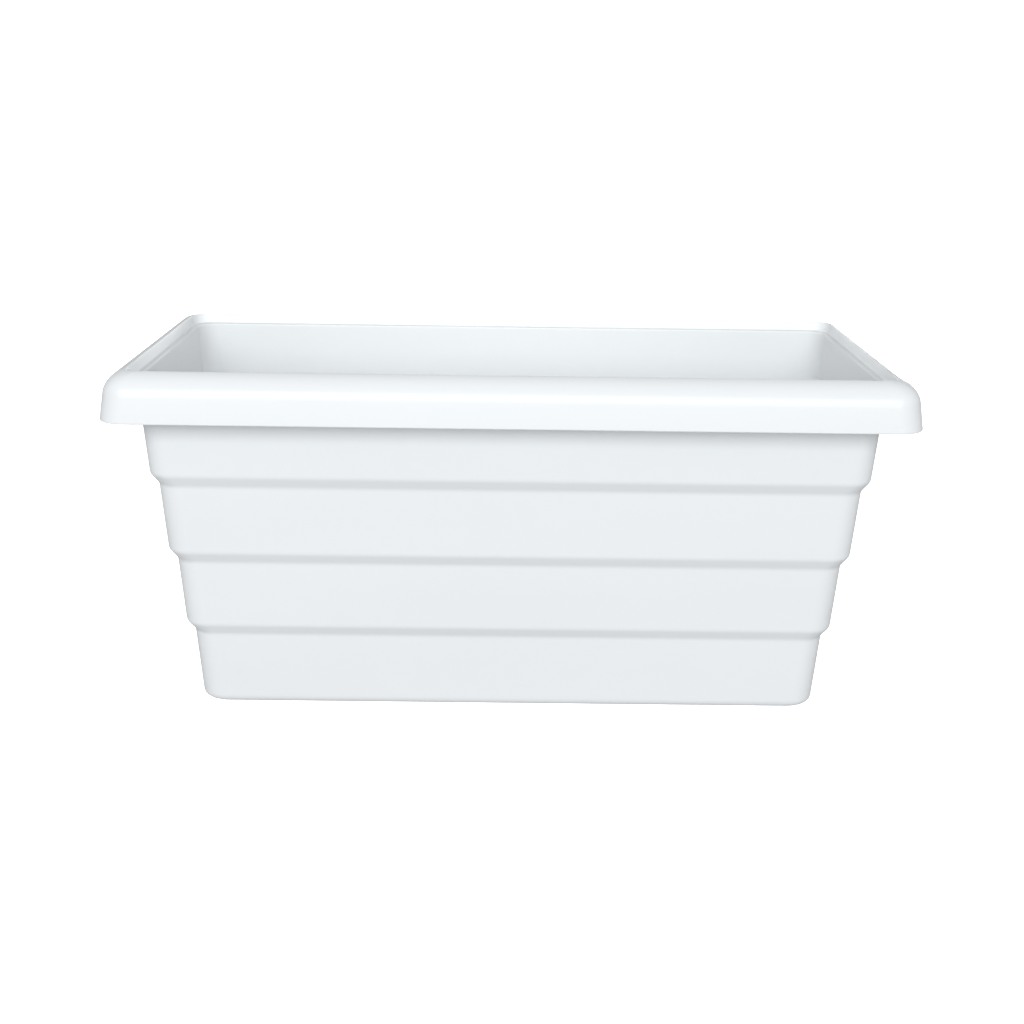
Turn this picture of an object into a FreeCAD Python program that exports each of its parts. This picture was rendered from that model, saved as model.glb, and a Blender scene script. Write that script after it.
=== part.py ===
import FreeCAD, Part
import math
import os
import re
import Sketcher

# Self watering trough planter, in millimetres. +X runs along the trough, the front faces -Y and +Z is up.
# The origin is the centre of the base, on the surface that the trough stands on.

DIMENSIONS = {
    # trough
    "rim_length": 500,
    "rim_width": 225,
    "overall_height": 234.5,
    "shell_wall": 2.6,
    "floor_thickness": 3,
    "body_corner": 15,
    "draft_angle": 3.05,
    "base_chamfer": 4.5,
    # rolled rim
    "skirt_height": 29.6,
    "skirt_flare": 8.2,
    "rim_corner": 16,
    "shoulder_radius": 17,
    "shoulder_end": 76,
    "crest_corner": 10,
    "crest_width": 0.6,
    "lip_run": 2,
    "lip_depth": 6.3,
    "lip_corner": 10,
    # stepped walls: the outer wall's inset is counted from the rim's edge, at the skirt's bottom
    "wall_inset": 20,
    "top_tier": 39.15,
    "lowest_ledge": 60.05,
    "ledge_width": 3.85,
    "ledge_height": 7.7,
    # clearances
    "seat_gap": 0.3,
    "push_gap": 0.1,
    "pin_gap": 0.06,
    "platform_gap": 0.6,
    # false bottom
    "platform_drop": 2,
    "platform_plate": 3,
    "platform_lip": 9,
    "lip_wall": 2,
    "socket_height": 6,
    "socket_wall": 2,
    "vent_radius": 2.5,
    "vent_pitch": 12.5,
    # support posts
    "post_radius": 8,
    "post_wall": 2,
    "post_edge_x": 61,
    "post_edge_y": 24,
    "foot_radius": 11,
    "foot_thickness": 2,
    # wicking cups
    "cup_radius": 30,
    "cup_taper": 6,
    "cup_wall": 2,
    "cup_gap": 0.5,
    "cup_flange": 5,
    "cup_floor_gap": 3,
    "cup_slot_width": 3,
    "cup_slot_height": 22,
    # filler in the front left corner
    "tube_edge_x": 28,
    "tube_edge_y": 27,
    "fill_radius": 12.5,
    "fill_wall": 2,
    "fill_floor_gap": 4,
    "filler_drop": 22.5,
    "funnel_height": 24,
    "funnel_radius": 23,
    "funnel_sleeve": 8,
    "seat_depth": 4,
    "strainer_depth": 10,
    "strainer_flange": 1.5,
    "strainer_ledge": 2.5,
    "sieve_radius": 1.2,
    "tab_reach": 4,
    "lid_thickness": 2.5,
    "hinge_reach": 4.5,
    "knuckle_radius": 3.2,
    "hinge_pin_radius": 1.5,
    "knuckle_length": 11,
    "ear_width": 3,
    # level gauge in the front right corner
    "gauge_radius": 8,
    "gauge_wall": 1.6,
    "gauge_drop": 34,
    "cap_cover": 8,
    "cap_height": 20,
    "cage_radius": 19,
    "cage_wall": 2,
    "cage_floor_gap": 3,
    "cage_slot_width": 4,
    "float_radius": 15,
    "float_height": 12,
    "float_bevel": 1.5,
    "float_travel": 30,
    "rod_radius": 1.3,
    "tip_height": 12,
    # overflow and drain, both through the back wall
    "overflow_place": 110,
    "drain_place": 110,
    "overflow_drop": 15.5,
    "drain_height": 15.5,
    "boss_radius": 14.5,
    "boss_rise": 2.5,
    "spout_radius": 6,
    "spout_bore": 4.2,
    "spout_reach": 16,
    "flange_radius": 12,
    "flange_thickness": 2.5,
    "seal_thickness": 1.5,
    "nut_thickness": 5,
    "nut_radius": 11.5,
    "drain_radius": 7,
    "drain_flange": 10.5,
    "shank_reach": 1,
    "pull_radius": 5,
    "pull_length": 9,
}

SHEET = "Dims"
SHAFT_AXIS = "V_Axis"

# Levels and insets that several pieces share, as expressions on the sheet.
SKIRT_BOTTOM = "(overall_height - skirt_height)"
HIGHEST_LEDGE = f"({SKIRT_BOTTOM} - top_tier)"
MIDDLE_LEDGE = f"(({HIGHEST_LEDGE} + lowest_ledge) / 2)"
LEDGES = ["lowest_ledge", MIDDLE_LEDGE, HIGHEST_LEDGE]
LIP_FLOOR = "(overall_height - lip_depth)"
FLARE = "tan(skirt_flare * 1deg)"
SHOULDER_RISE = "(skirt_height - shoulder_radius * sin(shoulder_end * 1deg))"
SHOULDER_CENTRE = f"({SHOULDER_RISE} * {FLARE} + shoulder_radius / cos(skirt_flare * 1deg))"
CREST_INSET = f"({SHOULDER_CENTRE} - shoulder_radius * cos(shoulder_end * 1deg) + crest_width)"
SHOULDER_STEPS = 6


def outer_inset(level, ledges):
    """Inset of the outer wall at a level that has this many ledges above it."""
    return (f"(wall_inset + ({SKIRT_BOTTOM} - {level}) * tan(draft_angle * 1deg)"
            f" + ({ledges}) * ledge_width)")


def inner_inset(level, ledges):
    """Inset of the inner wall at the same level."""
    return f"({outer_inset(level, ledges)} + shell_wall)"


PLATFORM_UNDER = "(lowest_ledge - platform_drop)"
PLATFORM_TOP = f"({PLATFORM_UNDER} + platform_plate)"
PLATFORM_INSET = f"({inner_inset(PLATFORM_UNDER, '2 + platform_drop / ledge_height')} + platform_gap)"
PLATFORM_LENGTH = f"(rim_length - 2 * {PLATFORM_INSET})"
PLATFORM_WIDTH = f"(rim_width - 2 * {PLATFORM_INSET})"
PLATFORM_CORNER = "(body_corner - shell_wall)"
TUBE_X = f"({PLATFORM_LENGTH} / 2 - tube_edge_x)"
TUBE_Y = f"({PLATFORM_WIDTH} / 2 - tube_edge_y)"
POST_X = f"({PLATFORM_LENGTH} / 2 - post_edge_x)"
POST_Y = f"({PLATFORM_WIDTH} / 2 - post_edge_y)"
CUP_X = f"({POST_X} / 2)"
FUNNEL_BASE = "(overall_height - filler_drop - funnel_height)"
FUNNEL_SEAT = "(funnel_height - seat_depth)"
HINGE_Y = "(funnel_radius + hinge_reach)"
HINGE_Z = "(funnel_height + seat_gap + lid_thickness / 2)"
CAGE_BASE = "(floor_thickness + cage_floor_gap)"
FLOAT_BASE = f"({CAGE_BASE} + cage_wall + seat_gap)"
GAUGE_TOP = "(overall_height - gauge_drop)"
TIP_BASE = f"({GAUGE_TOP} + cap_height - cap_cover - 2 * gauge_wall - tip_height - float_travel)"
OVERFLOW_Z = "(lowest_ledge - ledge_height - overflow_drop)"
BACK = "(rim_width / 2)"


def sheet_terms(text):
    """Turn the dimension names in an expression into cells of the sheet."""
    return re.sub(r"[a-z]+(_[a-z]+)+", lambda found: f"{SHEET}.{found.group(0)}", text)


def bind(item, name, text):
    item.setExpression(name, sheet_terms(text))


def value(item, text):
    return float(item.evalExpression(sheet_terms(text)))


def make_sheet(doc):
    sheet = doc.addObject("Spreadsheet::Sheet", SHEET)
    for row, (alias, number) in enumerate(DIMENSIONS.items(), start=1):
        sheet.set(f"A{row}", alias)
        sheet.set(f"B{row}", str(number))
        sheet.setAlias(f"B{row}", alias)
    doc.recompute()
    return sheet


def make_body(doc, label, x="0", y="0", z="0"):
    """A named body whose own origin stands at this place in the trough."""
    body = doc.addObject("PartDesign::Body", label)
    body.Label = label
    for axis, place in zip("xyz", (x, y, z)):
        bind(body, f"Placement.Base.{axis}", place)
    doc.recompute()
    return body


def make_sketch(body, name, role, offset="0"):
    """A sketch on one of the body's origin planes, moved along the plane's normal."""
    sketch = body.newObject("Sketcher::SketchObject", f"{body.Label}_{name}")
    plane = next(item for item in body.Origin.OriginFeatures if item.Role == role)
    sketch.AttachmentSupport = [(plane, "")]
    sketch.MapMode = "FlatFace"
    bind(sketch, "AttachmentOffset.Base.z", offset)
    return sketch


def fix_point(sketch, geometry, point, axis, text, name):
    """Hold one coordinate of a point, counted from the sketch's origin."""
    kind = "DistanceX" if axis == 0 else "DistanceY"
    if text == "0":
        reference = -2 if axis == 0 else -1
        sketch.addConstraint(Sketcher.Constraint("PointOnObject", geometry, point, reference))
        return
    index = sketch.addConstraint(Sketcher.Constraint(kind, -1, 1, geometry, point, value(sketch, text)))
    sketch.renameConstraint(index, name)
    bind(sketch, f"Constraints.{name}", text)


def add_polygon(sketch, corners):
    """A closed outline whose corners are pairs of expressions."""
    places = [FreeCAD.Vector(value(sketch, x), value(sketch, y), 0) for x, y in corners]
    first = sketch.GeometryCount
    for index, place in enumerate(places):
        following = places[(index + 1) % len(places)]
        sketch.addGeometry(Part.LineSegment(place, following), False)
    for index, corner in enumerate(corners):
        line = first + index
        following = first + (index + 1) % len(corners)
        sketch.addConstraint(Sketcher.Constraint("Coincident", line, 2, following, 1))
        for axis in (0, 1):
            fix_point(sketch, line, 1, axis, corner[axis], f"corner_{line}_{'xy'[axis]}")


def add_circle(sketch, x, y, radius):
    centre = FreeCAD.Vector(value(sketch, x), value(sketch, y), 0)
    circle = sketch.addGeometry(Part.Circle(centre, FreeCAD.Vector(0, 0, 1), value(sketch, radius)), False)
    fix_point(sketch, circle, 3, 0, x, f"centre_{circle}_x")
    fix_point(sketch, circle, 3, 1, y, f"centre_{circle}_y")
    index = sketch.addConstraint(Sketcher.Constraint("Radius", circle, value(sketch, radius)))
    sketch.renameConstraint(index, f"radius_{circle}")
    bind(sketch, f"Constraints.radius_{circle}", radius)


def add_rounded_rectangle(sketch, length, width, radius):
    """A rectangle centred on the sketch's origin, with equal round corners."""
    half_length = value(sketch, length) / 2
    half_width = value(sketch, width) / 2
    corner = value(sketch, radius)
    inner_x = half_length - corner
    inner_y = half_width - corner
    normal = FreeCAD.Vector(0, 0, 1)
    quarter = math.pi / 2
    centres = [(inner_x, inner_y), (-inner_x, inner_y), (-inner_x, -inner_y), (inner_x, -inner_y)]
    first = sketch.GeometryCount
    for index, (x, y) in enumerate(centres):
        circle = Part.Circle(FreeCAD.Vector(x, y, 0), normal, corner)
        sketch.addGeometry(Part.ArcOfCircle(circle, index * quarter, (index + 1) * quarter), False)
    sides = [
        ((inner_x, half_width), (-inner_x, half_width)),
        ((-half_length, inner_y), (-half_length, -inner_y)),
        ((-inner_x, -half_width), (inner_x, -half_width)),
        ((half_length, -inner_y), (half_length, inner_y)),
    ]
    for start, end in sides:
        sketch.addGeometry(Part.LineSegment(FreeCAD.Vector(*start, 0), FreeCAD.Vector(*end, 0)), False)
    for index in range(4):
        arc = first + index
        side = first + 4 + index
        following = first + (index + 1) % 4
        sketch.addConstraint(Sketcher.Constraint("Tangent", arc, 2, side, 1))
        sketch.addConstraint(Sketcher.Constraint("Tangent", side, 2, following, 1))
        sketch.addConstraint(Sketcher.Constraint("Horizontal" if index % 2 == 0 else "Vertical", side))
    for index in range(1, 4):
        sketch.addConstraint(Sketcher.Constraint("Equal", first, first + index))
    sketch.addConstraint(Sketcher.Constraint("Symmetric", first, 3, first + 2, 3, -1, 1))
    sizes = [
        ("length", Sketcher.Constraint("DistanceX", first + 5, 1, first + 7, 1, 2 * half_length), length),
        ("width", Sketcher.Constraint("DistanceY", first + 6, 1, first + 4, 1, 2 * half_width), width),
        ("radius", Sketcher.Constraint("Radius", first, corner), radius),
    ]
    for name, constraint, text in sizes:
        index = sketch.addConstraint(constraint)
        sketch.renameConstraint(index, name)
        bind(sketch, f"Constraints.{name}", text)


def inset_section(body, name, level, inset, radius):
    """A level section of the trough: the rim's outline moved inwards by the inset."""
    sketch = make_sketch(body, name, "XY_Plane", level)
    add_rounded_rectangle(sketch, f"rim_length - 2 * {inset}", f"rim_width - 2 * {inset}", radius)
    return sketch


def add_loft(body, name, sections, cut=False):
    before = volume_so_far(body)
    kind = "PartDesign::SubtractiveLoft" if cut else "PartDesign::AdditiveLoft"
    loft = body.newObject(kind, f"{body.Label}_{name}")
    loft.Profile = sections[0]
    loft.Sections = sections[1:]
    loft.Ruled = True
    finish_feature(body, loft, before, cut)
    return loft


def add_extrusion(body, name, sketch, length, cut=False, reverse=False):
    before = volume_so_far(body)
    kind = "PartDesign::Pocket" if cut else "PartDesign::Pad"
    feature = body.newObject(kind, f"{body.Label}_{name}")
    feature.Profile = sketch
    feature.Type = "Length"
    feature.Reversed = reverse
    bind(feature, "Length", length)
    finish_feature(body, feature, before, cut)
    return feature


def add_turning(body, name, corners):
    """Turn an outline of radius and height pairs about the body's own vertical axis."""
    sketch = make_sketch(body, f"{name}_outline", "XZ_Plane")
    add_polygon(sketch, corners)
    feature = body.newObject("PartDesign::Revolution", f"{body.Label}_{name}")
    feature.Profile = sketch
    feature.ReferenceAxis = (sketch, [SHAFT_AXIS])
    feature.Angle = 360
    finish_feature(body, feature, 0, False)
    return feature


def add_ring_pattern(body, name, feature, count):
    before = volume_so_far(body)
    pattern = body.newObject("PartDesign::PolarPattern", f"{body.Label}_{name}")
    pattern.Originals = [feature]
    axis = next(item for item in body.Origin.OriginFeatures if item.Role == "Z_Axis")
    pattern.Axis = (axis, [""])
    pattern.Angle = 360
    pattern.Occurrences = count
    body.Tip = pattern
    finish_feature(body, pattern, before, True)
    return pattern


def volume_so_far(body):
    return body.Tip.Shape.Volume if body.Tip else 0


def finish_feature(body, feature, before, cut):
    """Compute one feature and make sure that it added or removed material as meant."""
    body.Document.recompute()
    if "Invalid" in feature.State or "Error" in feature.State:
        raise ValueError(f"{feature.Name} could not be computed")
    after = feature.Shape.Volume
    wrong = after >= before if cut else after <= before
    if wrong:
        raise ValueError(f"{feature.Name} changed the volume from {before:.1f} to {after:.1f}")


def planter_shell(doc):
    """The one moulding: stepped walls, floor and rolled rim, with bosses for overflow and drain."""
    body = make_body(doc, "planter_shell")

    rim = [inset_section(body, "skirt_bottom", SKIRT_BOTTOM, "0", "rim_corner")]
    for step in range(SHOULDER_STEPS + 1):
        angle = f"(skirt_flare * 1deg + (shoulder_end - skirt_flare) * 1deg * {step} / {SHOULDER_STEPS})"
        level = f"({SKIRT_BOTTOM} + {SHOULDER_RISE} + shoulder_radius * sin({angle}))"
        inset = f"({SHOULDER_CENTRE} - shoulder_radius * cos({angle}))"
        radius = f"(rim_corner - (rim_corner - crest_corner) * {step} / {SHOULDER_STEPS})"
        rim.append(inset_section(body, f"shoulder_{step}", level, inset, radius))
    add_loft(body, "rim_block", rim)

    channel_top = f"({LIP_FLOOR} - shell_wall)"
    channel_corner = "(rim_corner - shell_wall)"
    channel_middle = f"({SKIRT_BOTTOM} + {SHOULDER_RISE})"
    top_rise = f"({channel_top} - {channel_middle})"
    inner_radius = "(shoulder_radius - shell_wall)"
    channel = [
        inset_section(body, "channel_bottom", SKIRT_BOTTOM, "shell_wall", channel_corner),
        inset_section(body, "channel_middle", channel_middle,
                      f"(shell_wall + {SHOULDER_RISE} * {FLARE})", channel_corner),
        inset_section(body, "channel_top", channel_top,
                      f"({SHOULDER_CENTRE} - sqrt({inner_radius} ^ 2 - {top_rise} ^ 2))", channel_corner),
    ]
    add_loft(body, "rim_underside", channel, cut=True)

    levels = [("base_chamfer", 3)]
    for passed, ledge in enumerate(LEDGES):
        levels.append((f"({ledge} - ledge_height)", 3 - passed))
        levels.append((ledge, 2 - passed))
    base_inset = f"({outer_inset('0', 3)} + base_chamfer)"
    walls = [inset_section(body, "base", "0", base_inset, "body_corner")]
    for index, (level, ledges) in enumerate(levels + [(LIP_FLOOR, 0)]):
        walls.append(inset_section(body, f"outer_{index}", level, outer_inset(level, ledges), "body_corner"))
    add_loft(body, "walls", walls)

    inner_corner = "(body_corner - shell_wall)"
    floor_inset = f"({inner_inset('floor_thickness', 3)} + base_chamfer - shell_wall)"
    cavity = [inset_section(body, "floor", "floor_thickness", floor_inset, inner_corner)]
    inner_levels = [("(floor_thickness + base_chamfer - shell_wall)", 3)] + levels[1:]
    for index, (level, ledges) in enumerate(inner_levels + [("(overall_height + 1)", 0)]):
        cavity.append(inset_section(body, f"inner_{index}", level, inner_inset(level, ledges), inner_corner))
    add_loft(body, "cavity", cavity, cut=True)

    lip = [
        inset_section(body, "lip_floor", LIP_FLOOR, f"({CREST_INSET} + lip_run)", "lip_corner"),
        inset_section(body, "lip_crest", "overall_height", CREST_INSET, "lip_corner"),
    ]
    add_loft(body, "lip", lip, cut=True)

    add_boss(body, "overflow", "overflow_place", OVERFLOW_Z, "spout_radius + push_gap")
    add_boss(body, "drain", "-drain_place", "drain_height", "drain_radius + seat_gap")
    return body


def boss_face(height):
    """How far back the outer face of a boss at this height stands."""
    return f"({BACK} - {outer_inset(height, 3)} + boss_rise)"


def boss_inside(height):
    """How far back the inner face of a boss at this height stands."""
    return f"({BACK} - {inner_inset(height, 3)} - boss_rise)"


def add_boss(body, name, place, height, hole):
    """A flat boss through the back wall, with a round hole along Y."""
    sketch = make_sketch(body, f"{name}_boss_outline", "XZ_Plane", f"-{boss_face(height)}")
    add_circle(sketch, place, height, "boss_radius")
    depth = f"({boss_face(height)} - {boss_inside(height)})"
    add_extrusion(body, f"{name}_boss", sketch, depth)
    opening = make_sketch(body, f"{name}_hole_outline", "XZ_Plane", f"-{boss_inside(height)} + 1")
    add_circle(opening, place, height, hole)
    add_extrusion(body, f"{name}_hole", opening, f"{depth} + 2", cut=True)


def turned_piece(doc, label, place, corners):
    """A round piece, upright at this place, with its outline as radius and height pairs."""
    body = make_body(doc, label, *place)
    add_turning(body, "turning", corners)
    return body


def ring_outline(bore, radius, height):
    return [(bore, "0"), (radius, "0"), (radius, height), (bore, height)]


def piece_through_wall(doc, label, x, y, height, corners):
    """A round piece whose axis runs back along +Y from this place."""
    body = make_body(doc, label)
    body.Placement = FreeCAD.Placement(FreeCAD.Vector(), FreeCAD.Rotation(FreeCAD.Vector(1, 0, 0), -90))
    for axis, place in zip("xyz", (x, y, height)):
        bind(body, f"Placement.Base.{axis}", place)
    doc.recompute()
    add_turning(body, "turning", corners)
    return body


def overflow_spout(doc):
    """The overflow's threaded barrel with its outer flange and nozzle."""
    wall = f"({boss_face(OVERFLOW_Z)} - {boss_inside(OVERFLOW_Z)})"
    flange = f"(nut_thickness + 1 + {wall} + seal_thickness)"
    shoulder = f"({flange} + flange_thickness)"
    end = f"({shoulder} + spout_reach)"
    corners = [
        ("spout_bore", "0"),
        ("spout_radius", "0"),
        ("spout_radius", flange),
        ("flange_radius", flange),
        ("flange_radius", shoulder),
        ("spout_radius", shoulder),
        ("spout_radius", end),
        ("spout_bore", end),
    ]
    start = f"({boss_inside(OVERFLOW_Z)} - nut_thickness - 1)"
    return piece_through_wall(doc, "overflow_spout", "overflow_place", start, OVERFLOW_Z, corners)


def overflow_seal(doc):
    corners = ring_outline("(spout_radius + push_gap)", "flange_radius", "seal_thickness")
    start = boss_face(OVERFLOW_Z)
    return piece_through_wall(doc, "overflow_seal", "overflow_place", start, OVERFLOW_Z, corners)


def overflow_nut(doc):
    """The six-sided nut that clamps the overflow from inside."""
    body = make_body(doc, "overflow_nut")
    sketch = make_sketch(body, "nut_outline", "XZ_Plane", f"-{boss_inside(OVERFLOW_Z)}")
    corners = []
    for side in range(6):
        angle = f"{15 + 60 * side}deg"
        corners.append((f"(overflow_place + nut_radius * cos({angle}))",
                        f"({OVERFLOW_Z} + nut_radius * sin({angle}))"))
    add_polygon(sketch, corners)
    add_circle(sketch, "overflow_place", OVERFLOW_Z, "(spout_radius + push_gap)")
    add_extrusion(body, "nut", sketch, "nut_thickness")
    return body


def drain_seat():
    """Length of the drain plug's shank up to the seal, from its inner end."""
    return f"({boss_face('drain_height')} - {boss_inside('drain_height')} + shank_reach + push_gap)"


def drain_plug(doc):
    """The plug: a shank, a flange and a round pull."""
    under = f"({drain_seat()} + seal_thickness)"
    outer = f"({under} + flange_thickness)"
    end = f"({outer} + pull_length)"
    corners = [
        ("0", "0"),
        ("drain_radius", "0"),
        ("drain_radius", under),
        ("drain_flange", under),
        ("drain_flange", outer),
        ("pull_radius", outer),
        ("pull_radius", end),
        ("0", end),
    ]
    start = f"({boss_inside('drain_height')} - shank_reach)"
    return piece_through_wall(doc, "drain_plug", "-drain_place", start, "drain_height", corners)


def drain_seal(doc):
    corners = ring_outline("(drain_radius + push_gap)", "drain_flange", "seal_thickness")
    start = f"({boss_face('drain_height')} + push_gap)"
    return piece_through_wall(doc, "drain_seal", "-drain_place", start, "drain_height", corners)


def post_places():
    return [(x, y) for y in (f"-{POST_Y}", POST_Y) for x in (f"-{POST_X}", "0", POST_X)]


def soil_platform(doc):
    """The false bottom between soil and reservoir: an edged plate with sockets, collars and vents."""
    body = make_body(doc, "soil_platform", z=PLATFORM_UNDER)
    outline = make_sketch(body, "outline", "XY_Plane")
    add_rounded_rectangle(outline, PLATFORM_LENGTH, PLATFORM_WIDTH, PLATFORM_CORNER)
    add_extrusion(body, "block", outline, "platform_plate + platform_lip")
    inside = make_sketch(body, "inside", "XY_Plane", "platform_plate")
    add_rounded_rectangle(inside, f"{PLATFORM_LENGTH} - 2 * lip_wall", f"{PLATFORM_WIDTH} - 2 * lip_wall",
                          f"{PLATFORM_CORNER} - lip_wall")
    add_extrusion(body, "tray", inside, "platform_lip + 1", cut=True, reverse=True)

    sockets = make_sketch(body, "sockets", "XY_Plane")
    for x, y in post_places():
        add_circle(sockets, x, y, "(post_radius + push_gap + socket_wall)")
        add_circle(sockets, x, y, "(post_radius + push_gap)")
    add_circle(sockets, TUBE_X, f"-{TUBE_Y}", "(cage_radius + push_gap + socket_wall)")
    add_circle(sockets, TUBE_X, f"-{TUBE_Y}", "(cage_radius + push_gap)")
    add_extrusion(body, "sockets", sockets, "socket_height", reverse=True)

    collars = make_sketch(body, "collars", "XY_Plane", "platform_plate")
    add_circle(collars, f"-{TUBE_X}", f"-{TUBE_Y}", "(fill_radius + push_gap + socket_wall)")
    add_circle(collars, TUBE_X, f"-{TUBE_Y}", "(gauge_radius + push_gap + socket_wall)")
    add_extrusion(body, "collars", collars, "socket_height")

    holes = make_sketch(body, "holes", "XY_Plane", "-1")
    add_circle(holes, f"-{TUBE_X}", f"-{TUBE_Y}", "(fill_radius + push_gap)")
    add_circle(holes, TUBE_X, f"-{TUBE_Y}", "(gauge_radius + push_gap)")
    for side in ("-", ""):
        add_circle(holes, f"{side}{CUP_X}", "0", "(cup_radius + cup_gap)")
    add_extrusion(body, "holes", holes, "platform_plate + socket_height + 2", cut=True, reverse=True)

    vents = make_sketch(body, "vents", "XY_Plane", "-1")
    side_field = f"(({CUP_X} + cup_radius + cup_flange + {PLATFORM_LENGTH} / 2) / 2)"
    for centre in (f"-{side_field}", "0", side_field):
        for column in (-1.5, -0.5, 0.5, 1.5):
            x = f"({centre} + {column} * vent_pitch)"
            for row in (-1.5, -0.5, 0.5, 1.5):
                add_circle(vents, x, f"({row} * vent_pitch)", "vent_radius")
    add_extrusion(body, "vents", vents, "platform_plate + 2", cut=True, reverse=True)
    return body


def support_post(doc, number, x, y):
    """One of the columns that carry the platform on the trough's floor."""
    height = f"({PLATFORM_UNDER} - floor_thickness - seat_gap)"
    corners = [
        ("(post_radius - post_wall)", "0"),
        ("foot_radius", "0"),
        ("foot_radius", "foot_thickness"),
        ("post_radius", "foot_thickness"),
        ("post_radius", height),
        ("(post_radius - post_wall)", height),
    ]
    place = (x, y, "(floor_thickness + seat_gap)")
    return turned_piece(doc, f"support_post_{number}", place, corners)


def wick_cup(doc, side, x):
    """A slotted cup of soil that hangs from the platform down into the water."""
    base = "(floor_thickness + cup_floor_gap)"
    rim = f"({PLATFORM_TOP} - {base} + push_gap)"
    foot = "(cup_radius - cup_taper)"
    corners = [
        ("0", "0"),
        (foot, "0"),
        ("cup_radius", rim),
        ("(cup_radius + cup_flange)", rim),
        ("(cup_radius + cup_flange)", f"({rim} + cup_wall)"),
        ("(cup_radius - cup_wall)", f"({rim} + cup_wall)"),
        (f"({foot} - cup_wall)", "cup_wall"),
        ("0", "cup_wall"),
    ]
    body = turned_piece(doc, f"wick_cup_{side}", (x, "0", base), corners)
    slot = make_sketch(body, "slot_outline", "YZ_Plane")
    half = "(cup_slot_width / 2)"
    low = "(2 * cup_wall)"
    high = f"({low} + cup_slot_height)"
    add_polygon(slot, [(f"-{half}", low), (half, low), (half, high), (f"-{half}", high)])
    first = add_extrusion(body, "slot", slot, "cup_radius", cut=True, reverse=True)
    add_ring_pattern(body, "slots", first, 8)
    drip = make_sketch(body, "drip_outline", "XY_Plane", "-1")
    add_circle(drip, f"({foot} / 2)", "0", "vent_radius")
    hole = add_extrusion(body, "drip", drip, "cup_wall + 2", cut=True, reverse=True)
    add_ring_pattern(body, "drips", hole, 6)
    return body


def fill_tube(doc):
    """The pipe that leads water from the funnel to the reservoir, notched at its foot."""
    base = "(floor_thickness + fill_floor_gap)"
    height = f"({FUNNEL_BASE} + funnel_sleeve - {base})"
    place = (f"-{TUBE_X}", f"-{TUBE_Y}", base)
    corners = ring_outline("(fill_radius - fill_wall)", "fill_radius", height)
    body = turned_piece(doc, "fill_tube", place, corners)
    notch = make_sketch(body, "notch_outline", "YZ_Plane")
    add_polygon(notch, [("-vent_radius", "-1"), ("vent_radius", "-1"),
                        ("vent_radius", "socket_height"), ("-vent_radius", "socket_height")])
    first = add_extrusion(body, "notch", notch, "fill_radius + 1", cut=True, reverse=True)
    add_ring_pattern(body, "notches", first, 4)
    return body


def filler_place():
    return (f"-{TUBE_X}", f"-{TUBE_Y}", FUNNEL_BASE)


def fill_funnel(doc):
    """The funnel pushed on to the tube, with two ears for the lid's pin."""
    sleeve = "(fill_radius + push_gap)"
    neck = "(fill_radius - fill_wall)"
    seat_bore = "(funnel_radius - fill_wall - strainer_ledge)"
    mouth = "(funnel_radius - fill_wall)"
    corners = [
        (sleeve, "0"),
        (f"({sleeve} + fill_wall)", "0"),
        (f"({sleeve} + fill_wall)", "(funnel_sleeve - 1)"),
        ("funnel_radius", f"({FUNNEL_SEAT} - 3)"),
        ("funnel_radius", "funnel_height"),
        (mouth, "funnel_height"),
        (mouth, FUNNEL_SEAT),
        (seat_bore, FUNNEL_SEAT),
        (seat_bore, f"({FUNNEL_SEAT} - 3)"),
        (neck, "funnel_sleeve"),
        (sleeve, "funnel_sleeve"),
    ]
    body = turned_piece(doc, "fill_funnel", filler_place(), corners)
    inner_edge = "(funnel_radius - fill_wall - 0.5)"
    ear = [
        (inner_edge, f"({FUNNEL_SEAT} - 5)"),
        (inner_edge, "(funnel_height - 1)"),
        (f"({HINGE_Y} - knuckle_radius)", "(funnel_height - 1)"),
        (f"({HINGE_Y} - knuckle_radius)", f"({HINGE_Z} + knuckle_radius / 2)"),
        (f"({HINGE_Y} - knuckle_radius / 2)", f"({HINGE_Z} + knuckle_radius)"),
        (f"({HINGE_Y} + knuckle_radius / 2)", f"({HINGE_Z} + knuckle_radius)"),
        (f"({HINGE_Y} + knuckle_radius)", f"({HINGE_Z} + knuckle_radius / 2)"),
        (f"({HINGE_Y} + knuckle_radius)", f"({HINGE_Z} - knuckle_radius / 2)"),
    ]
    for name, start in (("left", "-(knuckle_length / 2 + seat_gap + ear_width)"),
                        ("right", "(knuckle_length / 2 + seat_gap)")):
        sketch = make_sketch(body, f"{name}_ear_outline", "YZ_Plane", start)
        add_polygon(sketch, ear)
        add_circle(sketch, HINGE_Y, HINGE_Z, "(hinge_pin_radius + push_gap)")
        add_extrusion(body, f"{name}_ear", sketch, "ear_width")
    return body


def lid_pin(doc):
    body = make_body(doc, "lid_pin", *filler_place())
    reach = "(knuckle_length / 2 + seat_gap + ear_width + 0.5)"
    sketch = make_sketch(body, "pin_outline", "YZ_Plane", f"-{reach}")
    add_circle(sketch, HINGE_Y, HINGE_Z, "hinge_pin_radius")
    add_extrusion(body, "pin", sketch, f"2 * {reach}")
    return body


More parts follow.
